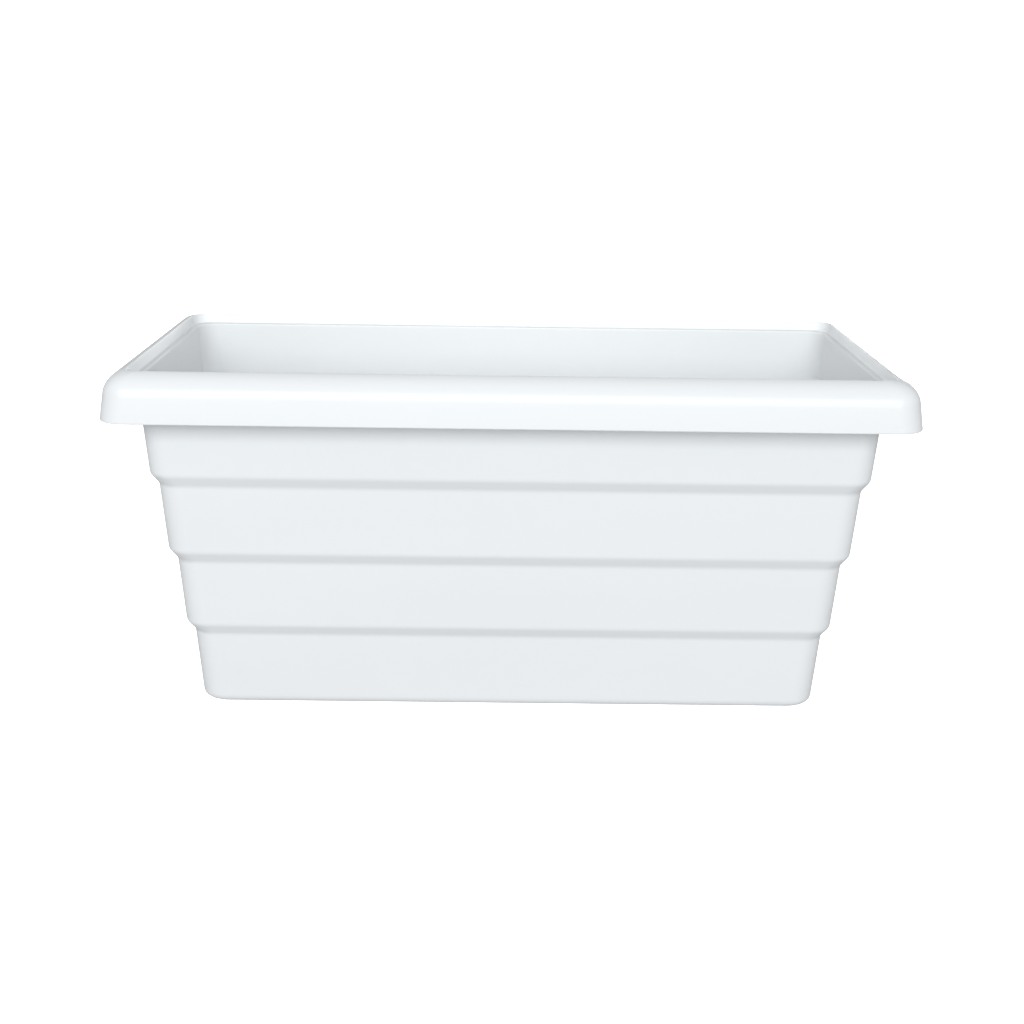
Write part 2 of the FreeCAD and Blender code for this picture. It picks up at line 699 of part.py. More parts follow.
def fill_lid(doc):
    """The flap over the funnel, with a finger tab in front and a knuckle behind."""
    body = make_body(doc, "fill_lid", *filler_place())
    under = "(funnel_height + seat_gap)"
    disc = make_sketch(body, "disc_outline", "XY_Plane", under)
    add_circle(disc, "0", "0", "(funnel_radius + 0.5)")
    add_extrusion(body, "disc", disc, "lid_thickness")
    half = "(knuckle_length / 2)"
    strap = make_sketch(body, "strap_outline", "XY_Plane", under)
    front = "(-funnel_radius - tab_reach)"
    add_polygon(strap, [(f"-{half}", front), (half, front), (half, HINGE_Y), (f"-{half}", HINGE_Y)])
    add_extrusion(body, "strap", strap, "lid_thickness")
    knuckle = make_sketch(body, "knuckle_outline", "YZ_Plane", f"-{half}")
    add_circle(knuckle, HINGE_Y, HINGE_Z, "knuckle_radius")
    add_extrusion(body, "knuckle", knuckle, "knuckle_length")
    bore = make_sketch(body, "bore_outline", "YZ_Plane", f"-{half} - 1")
    add_circle(bore, HINGE_Y, HINGE_Z, "(hinge_pin_radius + pin_gap)")
    add_extrusion(body, "bore", bore, "knuckle_length + 2", cut=True, reverse=True)
    return body


def fill_strainer(doc):
    """The sieve that hangs on the funnel's seat under the lid."""
    hang = f"({FUNNEL_SEAT} + push_gap)"
    base = f"({FUNNEL_SEAT} - strainer_depth)"
    outer = "(funnel_radius - fill_wall - seat_gap)"
    basket = "(funnel_radius - fill_wall - strainer_ledge - 2 * seat_gap)"
    foot = "(fill_radius - fill_wall - 1)"
    corners = [
        ("0", base),
        (foot, base),
        (basket, hang),
        (outer, hang),
        (outer, f"({hang} + strainer_flange)"),
        (f"({basket} - strainer_flange)", f"({hang} + strainer_flange)"),
        (f"({foot} - strainer_flange)", f"({base} + strainer_flange)"),
        ("0", f"({base} + strainer_flange)"),
    ]
    body = turned_piece(doc, "fill_strainer", filler_place(), corners)
    sieve = make_sketch(body, "sieve_outline", "XY_Plane", f"{base} - 1")
    add_circle(sieve, f"({foot} / 2)", "0", "sieve_radius")
    first = add_extrusion(body, "sieve", sieve, "strainer_flange + 2", cut=True, reverse=True)
    add_ring_pattern(body, "sieve_ring", first, 8)
    return body


def gauge_place(level):
    return (TUBE_X, f"-{TUBE_Y}", level)


def float_cage(doc):
    """The slotted cage under the platform that the float rides in."""
    height = f"({PLATFORM_UNDER} - {CAGE_BASE})"
    corners = [
        ("gauge_radius", "0"),
        ("cage_radius", "0"),
        ("cage_radius", height),
        ("(cage_radius - cage_wall)", height),
        ("(cage_radius - cage_wall)", "cage_wall"),
        ("gauge_radius", "cage_wall"),
    ]
    body = turned_piece(doc, "float_cage", gauge_place(CAGE_BASE), corners)
    slot = make_sketch(body, "slot_outline", "YZ_Plane")
    half = "(cage_slot_width / 2)"
    low = "(2 * cage_wall)"
    high = f"({height} - 2 * socket_height)"
    add_polygon(slot, [(f"-{half}", low), (half, low), (half, high), (f"-{half}", high)])
    first = add_extrusion(body, "slot", slot, "cage_radius + 1", cut=True, reverse=True)
    add_ring_pattern(body, "slots", first, 8)
    return body


def gauge_tube(doc):
    corners = ring_outline("(gauge_radius - gauge_wall)", "gauge_radius", f"({GAUGE_TOP} - {PLATFORM_UNDER})")
    return turned_piece(doc, "gauge_tube", gauge_place(PLATFORM_UNDER), corners)


def gauge_cap(doc):
    """The clear cap that the indicator rises into."""
    sleeve = "(gauge_radius + push_gap)"
    outer = f"({sleeve} + gauge_wall)"
    bore = "(gauge_radius - gauge_wall)"
    corners = [
        (sleeve, "0"),
        (outer, "0"),
        (outer, "(cap_height - 2 * gauge_wall)"),
        (f"({outer} - 2 * gauge_wall)", "cap_height"),
        ("0", "cap_height"),
        ("0", "(cap_height - gauge_wall)"),
        (bore, "(cap_height - gauge_wall)"),
        (bore, "cap_cover"),
        (sleeve, "cap_cover"),
    ]
    return turned_piece(doc, "gauge_cap", gauge_place(f"({GAUGE_TOP} - cap_cover)"), corners)


def gauge_float(doc):
    bore = "(rod_radius + pin_gap)"
    corners = [
        (bore, "0"),
        ("(float_radius - float_bevel)", "0"),
        ("float_radius", "float_bevel"),
        ("float_radius", "(float_height - float_bevel)"),
        ("(float_radius - float_bevel)", "float_height"),
        (bore, "float_height"),
    ]
    return turned_piece(doc, "gauge_float", gauge_place(FLOAT_BASE), corners)


def float_rod(doc):
    height = f"({TIP_BASE} + tip_height / 2 - {FLOAT_BASE})"
    corners = [("0", "0"), ("rod_radius", "0"), ("rod_radius", height), ("0", height)]
    return turned_piece(doc, "float_rod", gauge_place(FLOAT_BASE), corners)


def float_tip(doc):
    """The bright indicator on top of the rod."""
    outer = "(gauge_radius - gauge_wall - seat_gap)"
    socket = "(tip_height / 2 + push_gap)"
    corners = [
        ("(rod_radius + pin_gap)", "0"),
        (outer, "0"),
        (outer, "(tip_height - float_bevel)"),
        (f"({outer} - float_bevel)", "tip_height"),
        ("0", "tip_height"),
        ("0", socket),
        ("(rod_radius + pin_gap)", socket),
    ]
    return turned_piece(doc, "float_tip", gauge_place(TIP_BASE), corners)


def build(doc):
    make_sheet(doc)
    pieces = [planter_shell(doc), overflow_spout(doc), overflow_seal(doc), overflow_nut(doc)]
    pieces += [drain_plug(doc), drain_seal(doc), soil_platform(doc)]
    pieces += [support_post(doc, number, x, y) for number, (x, y) in enumerate(post_places(), start=1)]
    pieces += [wick_cup(doc, "left", f"-{CUP_X}"), wick_cup(doc, "right", CUP_X)]
    pieces += [fill_tube(doc), fill_funnel(doc), fill_strainer(doc), lid_pin(doc), fill_lid(doc)]
    pieces += [float_cage(doc), gauge_tube(doc), gauge_cap(doc)]
    pieces += [gauge_float(doc), float_rod(doc), float_tip(doc)]
    return pieces


def check_document(doc, pieces):
    doc.recompute()
    for item in doc.Objects:
        if "Invalid" in item.State or "Error" in item.State:
            raise ValueError(f"{item.Name} could not be computed")
    for piece in pieces:
        shape = piece.Shape
        if shape.isNull() or not shape.isValid() or len(shape.Solids) != 1:
            raise ValueError(f"{piece.Label} is not one sound solid")


def write_parts(pieces):
    os.makedirs("parts", exist_ok=True)
    for piece in pieces:
        piece.Shape.exportStep(os.path.join("parts", f"{piece.Label}.step"))
        print(f"{piece.Label}: {piece.Shape.Volume / 1000:.2f} cm3")


document = FreeCAD.newDocument("self_watering_planter")
sub_parts = build(document)
check_document(document, sub_parts)
write_parts(sub_parts)
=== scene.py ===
import math

import bmesh
import bpy
from mathutils import Matrix, Vector


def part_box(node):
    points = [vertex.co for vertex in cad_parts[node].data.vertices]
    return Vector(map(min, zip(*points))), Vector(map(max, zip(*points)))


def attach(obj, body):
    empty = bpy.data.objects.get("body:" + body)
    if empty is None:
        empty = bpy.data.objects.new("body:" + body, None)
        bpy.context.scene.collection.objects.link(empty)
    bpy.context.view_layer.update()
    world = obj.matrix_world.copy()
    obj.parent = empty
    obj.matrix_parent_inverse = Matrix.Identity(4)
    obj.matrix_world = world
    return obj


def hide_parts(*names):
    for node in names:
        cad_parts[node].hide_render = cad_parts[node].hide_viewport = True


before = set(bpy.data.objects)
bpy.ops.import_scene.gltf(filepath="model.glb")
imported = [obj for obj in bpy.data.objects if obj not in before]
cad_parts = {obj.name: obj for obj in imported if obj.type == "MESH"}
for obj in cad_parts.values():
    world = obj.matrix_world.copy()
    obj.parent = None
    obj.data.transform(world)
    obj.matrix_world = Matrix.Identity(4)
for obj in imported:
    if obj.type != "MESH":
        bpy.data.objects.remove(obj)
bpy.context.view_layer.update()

bl_info = {
    "name": "Self Watering Trough Planter",
    "version": (1, 0, 0),
    "blender": (4, 5, 0),
    "location": "View3D > Sidebar > Planter",
    "description": "Builds a moulded trough with its watering insert around a fixed frame of parts",
    "category": "Add Mesh",
}

MM = 0.001
SHELL_LOW, SHELL_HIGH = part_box("planter_shell")
POSTS = sorted(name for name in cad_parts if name.startswith("support_post_"))


# ---------------------------------------------------------------------------------------------
# Settings
# ---------------------------------------------------------------------------------------------

def length(name, description, default):
    return bpy.props.FloatProperty(name=name, description=description, default=default, min=0.0,
                                   precision=5, unit="LENGTH")


def angle(name, description, degrees):
    return bpy.props.FloatProperty(name=name, description=description, default=math.radians(degrees),
                                   unit="ROTATION")


def colour(name, description, default):
    return bpy.props.FloatVectorProperty(name=name, description=description, default=default, size=3,
                                         min=0.0, max=1.0, subtype="COLOR")


class PlanterShellSettings(bpy.types.PropertyGroup):
    """Sizes of the trough moulding."""
    wall: length("Wall", "Thickness of the moulded wall", 0.0026)
    floor: length("Floor", "Thickness of the floor", 0.003)
    draft: angle("Draft", "Lean of the walls between ledges", 3.05)
    wall_inset: length("Wall inset", "How far in from the rim's edge the wall stands at the skirt", 0.020)
    top_tier: length("Top tier", "Height of the wall between the highest ledge and the skirt", 0.03915)
    lowest_ledge: length("Lowest ledge", "Height of the lowest ledge's top above the ground", 0.06005)
    ledge_width: length("Ledge width", "How far in each ledge steps", 0.00385)
    ledge_height: length("Ledge height", "Height of each sloping ledge", 0.0077)
    ledge_round: length("Ledge rounding", "Radius of the bends at each ledge", 0.0075)
    base_round: length("Base rounding", "Radius of the edge round the base", 0.0065)
    body_corner: length("Body corner", "Radius of the wall's upright corners", 0.015)
    skirt_height: length("Skirt height", "Height of the rim from its lower edge to its crest", 0.0296)
    skirt_flare: angle("Skirt flare", "Lean of the skirt outwards as it goes down", 8.2)
    shoulder: length("Shoulder", "Radius of the rim's rounded shoulder", 0.017)
    shoulder_end: angle("Shoulder end", "Slope of the shoulder's last point, where the crest begins", 76.0)
    rim_corner: length("Rim corner", "Radius of the skirt's upright corners", 0.016)
    crest_corner: length("Crest corner", "Radius of the crest's corners", 0.010)
    crest_width: length("Crest width", "Width of the flat along the crest", 0.0006)
    lip_run: length("Lip run", "Width of the slope inside the crest", 0.002)
    lip_depth: length("Lip depth", "Height of the slope inside the crest", 0.0063)


class PlanterFinishSettings(bpy.types.PropertyGroup):
    """Colours of the pieces and the strength of the studio light."""
    shell: colour("Trough", "Colour of the trough moulding", (0.86, 0.875, 0.885))
    insert: colour("Insert", "Colour of the false bottom, posts, cups and filler", (0.050, 0.053, 0.057))
    lid: colour("Lid", "Colour of the filler's lid", (0.075, 0.080, 0.086))
    strainer: colour("Strainer", "Colour of the sieve in the filler", (0.16, 0.17, 0.18))
    tip: colour("Indicator", "Colour of the level indicator", (0.62, 0.02, 0.012))
    float_body: colour("Float", "Colour of the float and its rod", (0.78, 0.77, 0.72))
    rubber: colour("Rubber", "Colour of the seals", (0.018, 0.018, 0.018))
    light: bpy.props.FloatProperty(name="Light", description="Strength of all studio lights together",
                                   default=1.0, min=0.0)


class PlanterDetailSettings(bpy.types.PropertyGroup):
    """Counts and sizes of the details that repeat."""
    vent_pitch: length("Vent pitch", "Spacing of the false bottom's vents", 0.0105)
    vent_width: length("Vent width", "Width of each vent", 0.0028)
    vent_length: length("Vent length", "Length of each vent", 0.0062)
    cup_slots: bpy.props.IntProperty(name="Cup slots", description="Upright slots round each wicking cup",
                                     default=16, min=3)
    cage_slots: bpy.props.IntProperty(name="Cage slots", description="Upright slots round the float's cage",
                                      default=8, min=3)
    grip_ribs: bpy.props.IntProperty(name="Grip ribs", description="Ribs round the drain plug's pull",
                                     default=18, min=3)


# ---------------------------------------------------------------------------------------------
# Materials
# ---------------------------------------------------------------------------------------------

class Surface:
    """A new material, and the few ways in which its looks are put together."""

    def __init__(self, name):
        self.material = bpy.data.materials.new(name)
        self.material.use_nodes = True
        self.nodes = self.material.node_tree.nodes
        self.links = self.material.node_tree.links
        self.shader = self.nodes["Principled BSDF"]
        self.place = self.nodes.new("ShaderNodeTexCoord").outputs["Object"]

    def stretched(self, scale):
        """The piece's own coordinates, stretched along some axes."""
        mapping = self.nodes.new("ShaderNodeMapping")
        mapping.inputs["Scale"].default_value = scale
        self.links.new(self.place, mapping.inputs["Vector"])
        return mapping.outputs["Vector"]

    def noise(self, scale, detail, place=None):
        noise = self.nodes.new("ShaderNodeTexNoise")
        noise.inputs["Scale"].default_value = scale
        noise.inputs["Detail"].default_value = detail
        self.links.new(place or self.place, noise.inputs["Vector"])
        return noise.outputs["Fac"]

    def spread(self, source, low, high):
        """Map a texture's middle range to a range of values."""
        spread = self.nodes.new("ShaderNodeMapRange")
        spread.inputs["From Min"].default_value = 0.3
        spread.inputs["From Max"].default_value = 0.7
        spread.inputs["To Min"].default_value = low
        spread.inputs["To Max"].default_value = high
        self.links.new(source, spread.inputs["Value"])
        return spread.outputs["Result"]

    def tint(self, source, shade, amount):
        """Let the colour drift from the given one to a little darker."""
        mix = self.nodes.new("ShaderNodeMix")
        mix.data_type = "RGBA"
        darker = [channel * (1 - amount) for channel in shade]
        mix.inputs["A"].default_value = (*darker, 1)
        mix.inputs["B"].default_value = (*shade, 1)
        self.links.new(source, mix.inputs["Factor"])
        self.links.new(mix.outputs["Result"], self.shader.inputs["Base Color"])

    def roughness(self, source, low, high):
        self.links.new(self.spread(source, low, high), self.shader.inputs["Roughness"])

    def bump(self, source, distance, strength, under=None):
        """Raise the surface by a texture, on top of an earlier bump if there is one."""
        bump = self.nodes.new("ShaderNodeBump")
        bump.inputs["Distance"].default_value = distance
        bump.inputs["Strength"].default_value = strength
        self.links.new(source, bump.inputs["Height"])
        if under:
            self.links.new(under, bump.inputs["Normal"])
        self.links.new(bump.outputs["Normal"], self.shader.inputs["Normal"])
        return bump.outputs["Normal"]

    def set(self, **values):
        for label, value in values.items():
            name = label.replace("_", " ").replace("Ior", "IOR")
            self.shader.inputs[name].default_value = value


def gloss_shell_plastic(shade):
    """Glossy injection moulded plastic: faint flow marks, a little orange peel, fine dust in the gloss."""
    surface = Surface("trough_gloss_plastic")
    flow = surface.stretched((1.0, 1.0, 3.5))
    drift = surface.noise(scale=5.0, detail=4.0, place=flow)
    surface.tint(surface.spread(drift, low=0.0, high=1.0), shade, amount=0.018)
    surface.roughness(surface.noise(scale=900.0, detail=2.0), low=0.20, high=0.27)
    peel = surface.bump(surface.noise(scale=140.0, detail=2.0), distance=0.00008, strength=0.25)
    warp = surface.noise(scale=9.0, detail=1.0, place=flow)
    surface.bump(warp, distance=0.0012, strength=0.12, under=peel)
    surface.set(Ior=1.5, Subsurface_Weight=0.05, Subsurface_Radius=(0.004, 0.004, 0.004),
                Specular_Ior_Level=0.32, Coat_Weight=0.06, Coat_Roughness=0.12)
    return surface.material


def matte_moulded_plastic(name, shade):
    """Recycled matt plastic with a spark-eroded grain and paler scuffs."""
    surface = Surface(name)
    drift = surface.noise(scale=35.0, detail=5.0)
    surface.tint(surface.spread(drift, low=0.0, high=1.0), shade, amount=0.35)
    surface.roughness(surface.noise(scale=260.0, detail=3.0), low=0.38, high=0.6)
    surface.bump(surface.noise(scale=1600.0, detail=2.0), distance=0.00012, strength=0.5)
    surface.set(Ior=1.49)
    return surface.material


def bright_plastic(name, shade):
    """Small glossy coloured moulding."""
    surface = Surface(name)
    drift = surface.noise(scale=60.0, detail=3.0)
    surface.tint(surface.spread(drift, low=0.0, high=1.0), shade, amount=0.12)
    smear = surface.noise(scale=420.0, detail=2.0)
    surface.roughness(smear, low=0.22, high=0.34)
    surface.bump(smear, distance=0.00005, strength=0.3)
    return surface.material


def clear_plastic():
    """Clear polished tube, with faint drawing lines and water haze."""
    surface = Surface("gauge_clear_plastic")
    lines = surface.noise(scale=700.0, detail=2.0, place=surface.stretched((1.0, 1.0, 0.05)))
    surface.roughness(lines, low=0.0, high=0.05)
    surface.bump(lines, distance=0.00003, strength=0.2)
    surface.tint(surface.noise(scale=50.0, detail=3.0), (0.97, 0.985, 0.99), amount=0.03)
    surface.set(Transmission_Weight=1.0, Ior=1.46)
    return surface.material


def seal_rubber(shade):
    """Black rubber with a faint bloom and a gritty skin."""
    surface = Surface("seal_rubber")
    bloom = surface.noise(scale=120.0, detail=4.0)
    surface.tint(bloom, shade, amount=0.4)
    surface.roughness(bloom, low=0.55, high=0.8)
    surface.bump(surface.noise(scale=2500.0, detail=2.0), distance=0.00008, strength=0.6)
    return surface.material


def drawn_steel():
    """Drawn wire: fine lines along the pin."""
    surface = Surface("pin_drawn_steel")
    lines = surface.noise(scale=6000.0, detail=2.0, place=surface.stretched((0.02, 1.0, 1.0)))
    surface.tint(lines, (0.62, 0.62, 0.61), amount=0.2)
    surface.roughness(lines, low=0.22, high=0.42)
    surface.bump(lines, distance=0.00002, strength=0.5)
    surface.set(Metallic=1.0)
    return surface.material


def floor_card(glow):
    """Pale card that shines to the camera, so that the backdrop has no edge."""
    surface = Surface("studio_floor_pale")
    surface.tint(surface.noise(scale=6.0, detail=2.0), (0.93, 0.93, 0.93), amount=0.01)
    surface.set(Roughness=0.9, Emission_Color=(1, 1, 1, 1), Emission_Strength=glow)
    return surface.material


MATERIALS = {}


def finish_for(name):
    """The material of this name, made the first time that a piece asks for it."""
    if name not in MATERIALS:
        finish = bpy.context.scene.planter_finish
        makers = {
            "shell": lambda: gloss_shell_plastic(finish.shell),
            "insert": lambda: matte_moulded_plastic("insert_matt_plastic", finish.insert),
            "lid": lambda: matte_moulded_plastic("lid_matt_plastic", finish.lid),
            "strainer": lambda: matte_moulded_plastic("strainer_matt_plastic", finish.strainer),
            "float": lambda: matte_moulded_plastic("float_pale_plastic", finish.float_body),
            "tip": lambda: bright_plastic("indicator_red_plastic", finish.tip),
            "clear": clear_plastic,
            "rubber": lambda: seal_rubber(finish.rubber),
            "steel": drawn_steel,
        }
        MATERIALS[name] = makers[name]()
    return MATERIALS[name]


# ---------------------------------------------------------------------------------------------
# Shapes
# ---------------------------------------------------------------------------------------------

ARC_STEPS = 6
SHOULDER_STEPS = 12
SIDE_STEPS = 12
HOLD = 0.4 * MM
TURN_STEPS = 72


def round_outline(corners, closed):
    """Round an outline's corners. Each corner is x, y, radius and one more value that is carried along."""
    points = []
    count = len(corners)
    for index, (x, y, radius, carried) in enumerate(corners):
        here = Vector((x, y))
        at_end = not closed and index in (0, count - 1)
        if at_end or radius <= 0:
            points.append((x, y, carried))
            continue
        before = Vector(corners[index - 1][:2]) - here
        after = Vector(corners[(index + 1) % count][:2]) - here
        opening = before.angle(after)
        reach = min(radius / math.tan(opening / 2), 0.48 * before.length, 0.48 * after.length)
        actual = reach * math.tan(opening / 2)
        before.normalize()
        after.normalize()
        middle = (before + after).normalized()
        centre = here + middle * (actual / math.sin(opening / 2))
        start = here + before * reach
        end = here + after * reach
        hold = min(HOLD, 0.02 * radius + 0.00005)
        points.append((*(start + before * hold), carried))
        turn = (start - centre).angle_signed(end - centre)
        for step in range(ARC_STEPS + 1):
            spoke = (start - centre).copy()
            spoke.rotate(Matrix.Rotation(-turn * step / ARC_STEPS, 2))
            points.append((*(centre + spoke), carried))
        points.append((*(end + after * hold), carried))
    return points


def skin_rings(rings, loop):
    """A mesh through rings of equal length. A ring of one point is a pole; open ends are capped."""
    mesh = bmesh.new()
    rows = [[mesh.verts.new(point) for point in ring] for ring in rings]
    pairs = list(zip(rows, rows[1:]))
    if loop:
        pairs.append((rows[-1], rows[0]))
    for lower, upper in pairs:
        count = max(len(lower), len(upper))
        for index in range(count):
            following = (index + 1) % count
            if len(lower) == 1:
                mesh.faces.new((lower[0], upper[following], upper[index]))
            elif len(upper) == 1:
                mesh.faces.new((lower[index], lower[following], upper[0]))
            else:
                mesh.faces.new((lower[index], lower[following], upper[following], upper[index]))
    if not loop:
        for row in (rows[0], rows[-1]):
            if len(row) > 1:
                mesh.faces.new(row)
    bmesh.ops.recalc_face_normals(mesh, faces=mesh.faces)
    return mesh


def rounded_rectangle(half_x, half_y, radius, level):
    """A level ring with round corners, and points along its sides that keep the sides flat."""
    ring = []
    corners = [(1, 1, 0), (-1, 1, 90), (-1, -1, 180), (1, -1, 270)]
    for index, (sign_x, sign_y, start) in enumerate(corners):
        centre = Vector((sign_x * (half_x - radius), sign_y * (half_y - radius)))
        for step in range(2 * ARC_STEPS + 1):
            turn = math.radians(start + 90 * step / (2 * ARC_STEPS))
            ring.append(centre + radius * Vector((math.cos(turn), math.sin(turn))))
        next_x, next_y, _ = corners[(index + 1) % 4]
        target = Vector((next_x * (half_x - radius), next_y * (half_y - radius)))
        turn = math.radians(start + 90)
        begin = ring[-1]
        end = target + radius * Vector((math.cos(turn), math.sin(turn)))
        side = (end - begin).length
        shares = [HOLD / side] + [share / SIDE_STEPS for share in range(1, SIDE_STEPS)] + [1 - HOLD / side]
        ring.extend(begin.lerp(end, share) for share in shares)
    return [Vector((point.x, point.y, level)) for point in ring]


def turned(outline, place, direction="Z", steps=TURN_STEPS):
    """Turn an outline of radius, height and edge radius about an upright, backward or sideways axis."""
    on_axis = outline[0][0] == 0
    corners = [(radius, height, edge, 0) for radius, height, edge in outline]
    rings = []
    for radius, height, _ in round_outline(corners, closed=not on_axis):
        if radius < 1e-7:
            rings.append([Vector((0, 0, height))])
            continue
        spokes = [2 * math.pi * step / steps for step in range(steps)]
        rings.append([Vector((radius * math.cos(spoke), radius * math.sin(spoke), height))
                      for spoke in spokes])
    mesh = skin_rings(rings, loop=not on_axis)
    rotations = {"Z": Matrix.Identity(4), "Y": Matrix.Rotation(-math.pi / 2, 4, "X"),
                 "X": Matrix.Rotation(math.pi / 2, 4, "Y")}
    mesh.transform(Matrix.Translation(place) @ rotations[direction])
    return mesh


def prism(points, axis, start, end, edge):
    """An outline in the plane across X or Z, given a thickness and softened edges."""
    mesh = bmesh.new()
    rows = []
    for level in (start, end):
        if axis == "X":
            rows.append([mesh.verts.new((level, a, b)) for a, b in points])
        else:
            rows.append([mesh.verts.new((a, b, level)) for a, b in points])
    count = len(points)
    for index in range(count):
        following = (index + 1) % count
        mesh.faces.new((rows[0][index], rows[0][following], rows[1][following], rows[1][index]))
    for row in rows:
        mesh.faces.new(row)
    bmesh.ops.recalc_face_normals(mesh, faces=mesh.faces)
    bmesh.ops.bevel(mesh, geom=mesh.edges[:], offset=edge, segments=3, profile=0.5, affect="EDGES")
    return mesh


def make_piece(name, meshes, finish):
    """One object from one or more closed meshes."""
    joined = bmesh.new()
    for mesh in meshes:
        data = bpy.data.meshes.new("part")
        mesh.to_mesh(data)
        mesh.free()
        joined.from_mesh(data)
        bpy.data.meshes.remove(data)
    data = bpy.data.meshes.new(name)
    joined.to_mesh(data)
    joined.free()
    piece = bpy.data.objects.new(name, data)
    bpy.context.scene.collection.objects.link(piece)
    data.materials.append(finish_for(finish))
    return piece


def settle(piece, sharp=35.0):
    """Replace a piece's mesh by its evaluated one, without modifiers, and shade it smooth."""
    graph = bpy.context.evaluated_depsgraph_get()
    data = bpy.data.meshes.new_from_object(piece.evaluated_get(graph), depsgraph=graph)
    piece.modifiers.clear()
    old = piece.data
    piece.data = data
    bpy.data.meshes.remove(old)
    data.name = piece.name
    data.shade_smooth()
    data.set_sharp_from_angle(angle=math.radians(sharp))
    return piece


def cut_with(piece, meshes, operation="DIFFERENCE"):
    """Cut closed meshes out of a piece, or join them to it."""
    cutter = make_piece("cutter", meshes, "insert")
    cutter.data.materials.clear()
    cutter.data.materials.append(piece.data.materials[0])
    modifier = piece.modifiers.new("cut", "BOOLEAN")
    modifier.operation = operation
    modifier.solver = "EXACT"
    modifier.object = cutter
    settle(piece)
    bpy.data.objects.remove(cutter)
    return piece


def finish_piece(piece, body, slot, *nodes):
    """Hand a piece over to the frame: its body and the nodes that it stands for; the slot is not used."""
    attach(piece, body)
    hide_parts(*nodes)
    return piece


# ---------------------------------------------------------------------------------------------
# Geometry Nodes
# ---------------------------------------------------------------------------------------------

SOCKETS = {"geometry": "NodeSocketGeometry", "float": "NodeSocketFloat", "int": "NodeSocketInt",
           "vector": "NodeSocketVector", "object": "NodeSocketObject", "material": "NodeSocketMaterial"}


def new_tree(name, inputs):
    tree = bpy.data.node_groups.new(name, "GeometryNodeTree")
    for label, kind in inputs:
        tree.interface.new_socket(label, in_out="INPUT", socket_type=SOCKETS[kind])
    tree.interface.new_socket("Geometry", in_out="OUTPUT", socket_type=SOCKETS["geometry"])
    entry = tree.nodes.new("NodeGroupInput")
    return tree, entry


def add_node(tree, kind, links=(), **settings):
    """A node with its properties set and its inputs linked to sockets or given values."""
    node = tree.nodes.new(kind)
    for key, setting in settings.items():
        setattr(node, key, setting)
    for key, source in dict(links).items():
        if isinstance(source, bpy.types.NodeSocket):
            tree.links.new(source, node.inputs[key])
        else:
            node.inputs[key].default_value = source
    return node


def end_tree(tree, entry, geometry):
    """Every tree ends with real geometry that carries its material."""
    real = add_node(tree, "GeometryNodeRealizeInstances", {"Geometry": geometry})
    dressed = add_node(tree, "GeometryNodeSetMaterial",
                       {"Geometry": real.outputs[0], "Material": entry.outputs["Material"]})
    leave = tree.nodes.new("NodeGroupOutput")
    tree.links.new(dressed.outputs[0], leave.inputs[0])
    return tree


def add_slot_cutter(tree, width, height, depth):
    """A prism with a round-ended outline across Z, as deep along Z as asked and centred on its origin."""
    outline = add_node(tree, "GeometryNodeCurvePrimitiveQuadrilateral", {"Width": width, "Height": height})
    half = add_node(tree, "ShaderNodeMath", {0: width, 1: 0.499}, operation="MULTIPLY")
    fillet = add_node(tree, "GeometryNodeFilletCurve",
                      {"Curve": outline.outputs[0], "Count": 6, "Radius": half.outputs[0]}, mode="POLY")
    filled = add_node(tree, "GeometryNodeFillCurve", {"Curve": fillet.outputs[0]}, mode="NGONS")
    raised = add_node(tree, "GeometryNodeExtrudeMesh",
                      {"Mesh": filled.outputs[0], "Offset Scale": depth, "Individual": False})
    under = add_node(tree, "GeometryNodeFlipFaces", {"Mesh": filled.outputs[0]})
    both = tree.nodes.new("GeometryNodeJoinGeometry")
    tree.links.new(raised.outputs["Mesh"], both.inputs[0])
    tree.links.new(under.outputs[0], both.inputs[0])
    sealed = add_node(tree, "GeometryNodeMergeByDistance", {"Geometry": both.outputs[0], "Distance": 1e-6})
    drop = add_node(tree, "ShaderNodeMath", {0: depth, 1: -0.5}, operation="MULTIPLY")
    shift = add_node(tree, "ShaderNodeCombineXYZ", {"Z": drop.outputs[0]})
    return add_node(tree, "GeometryNodeTransform",
                    {"Geometry": sealed.outputs[0], "Translation": shift.outputs[0]}).outputs[0]


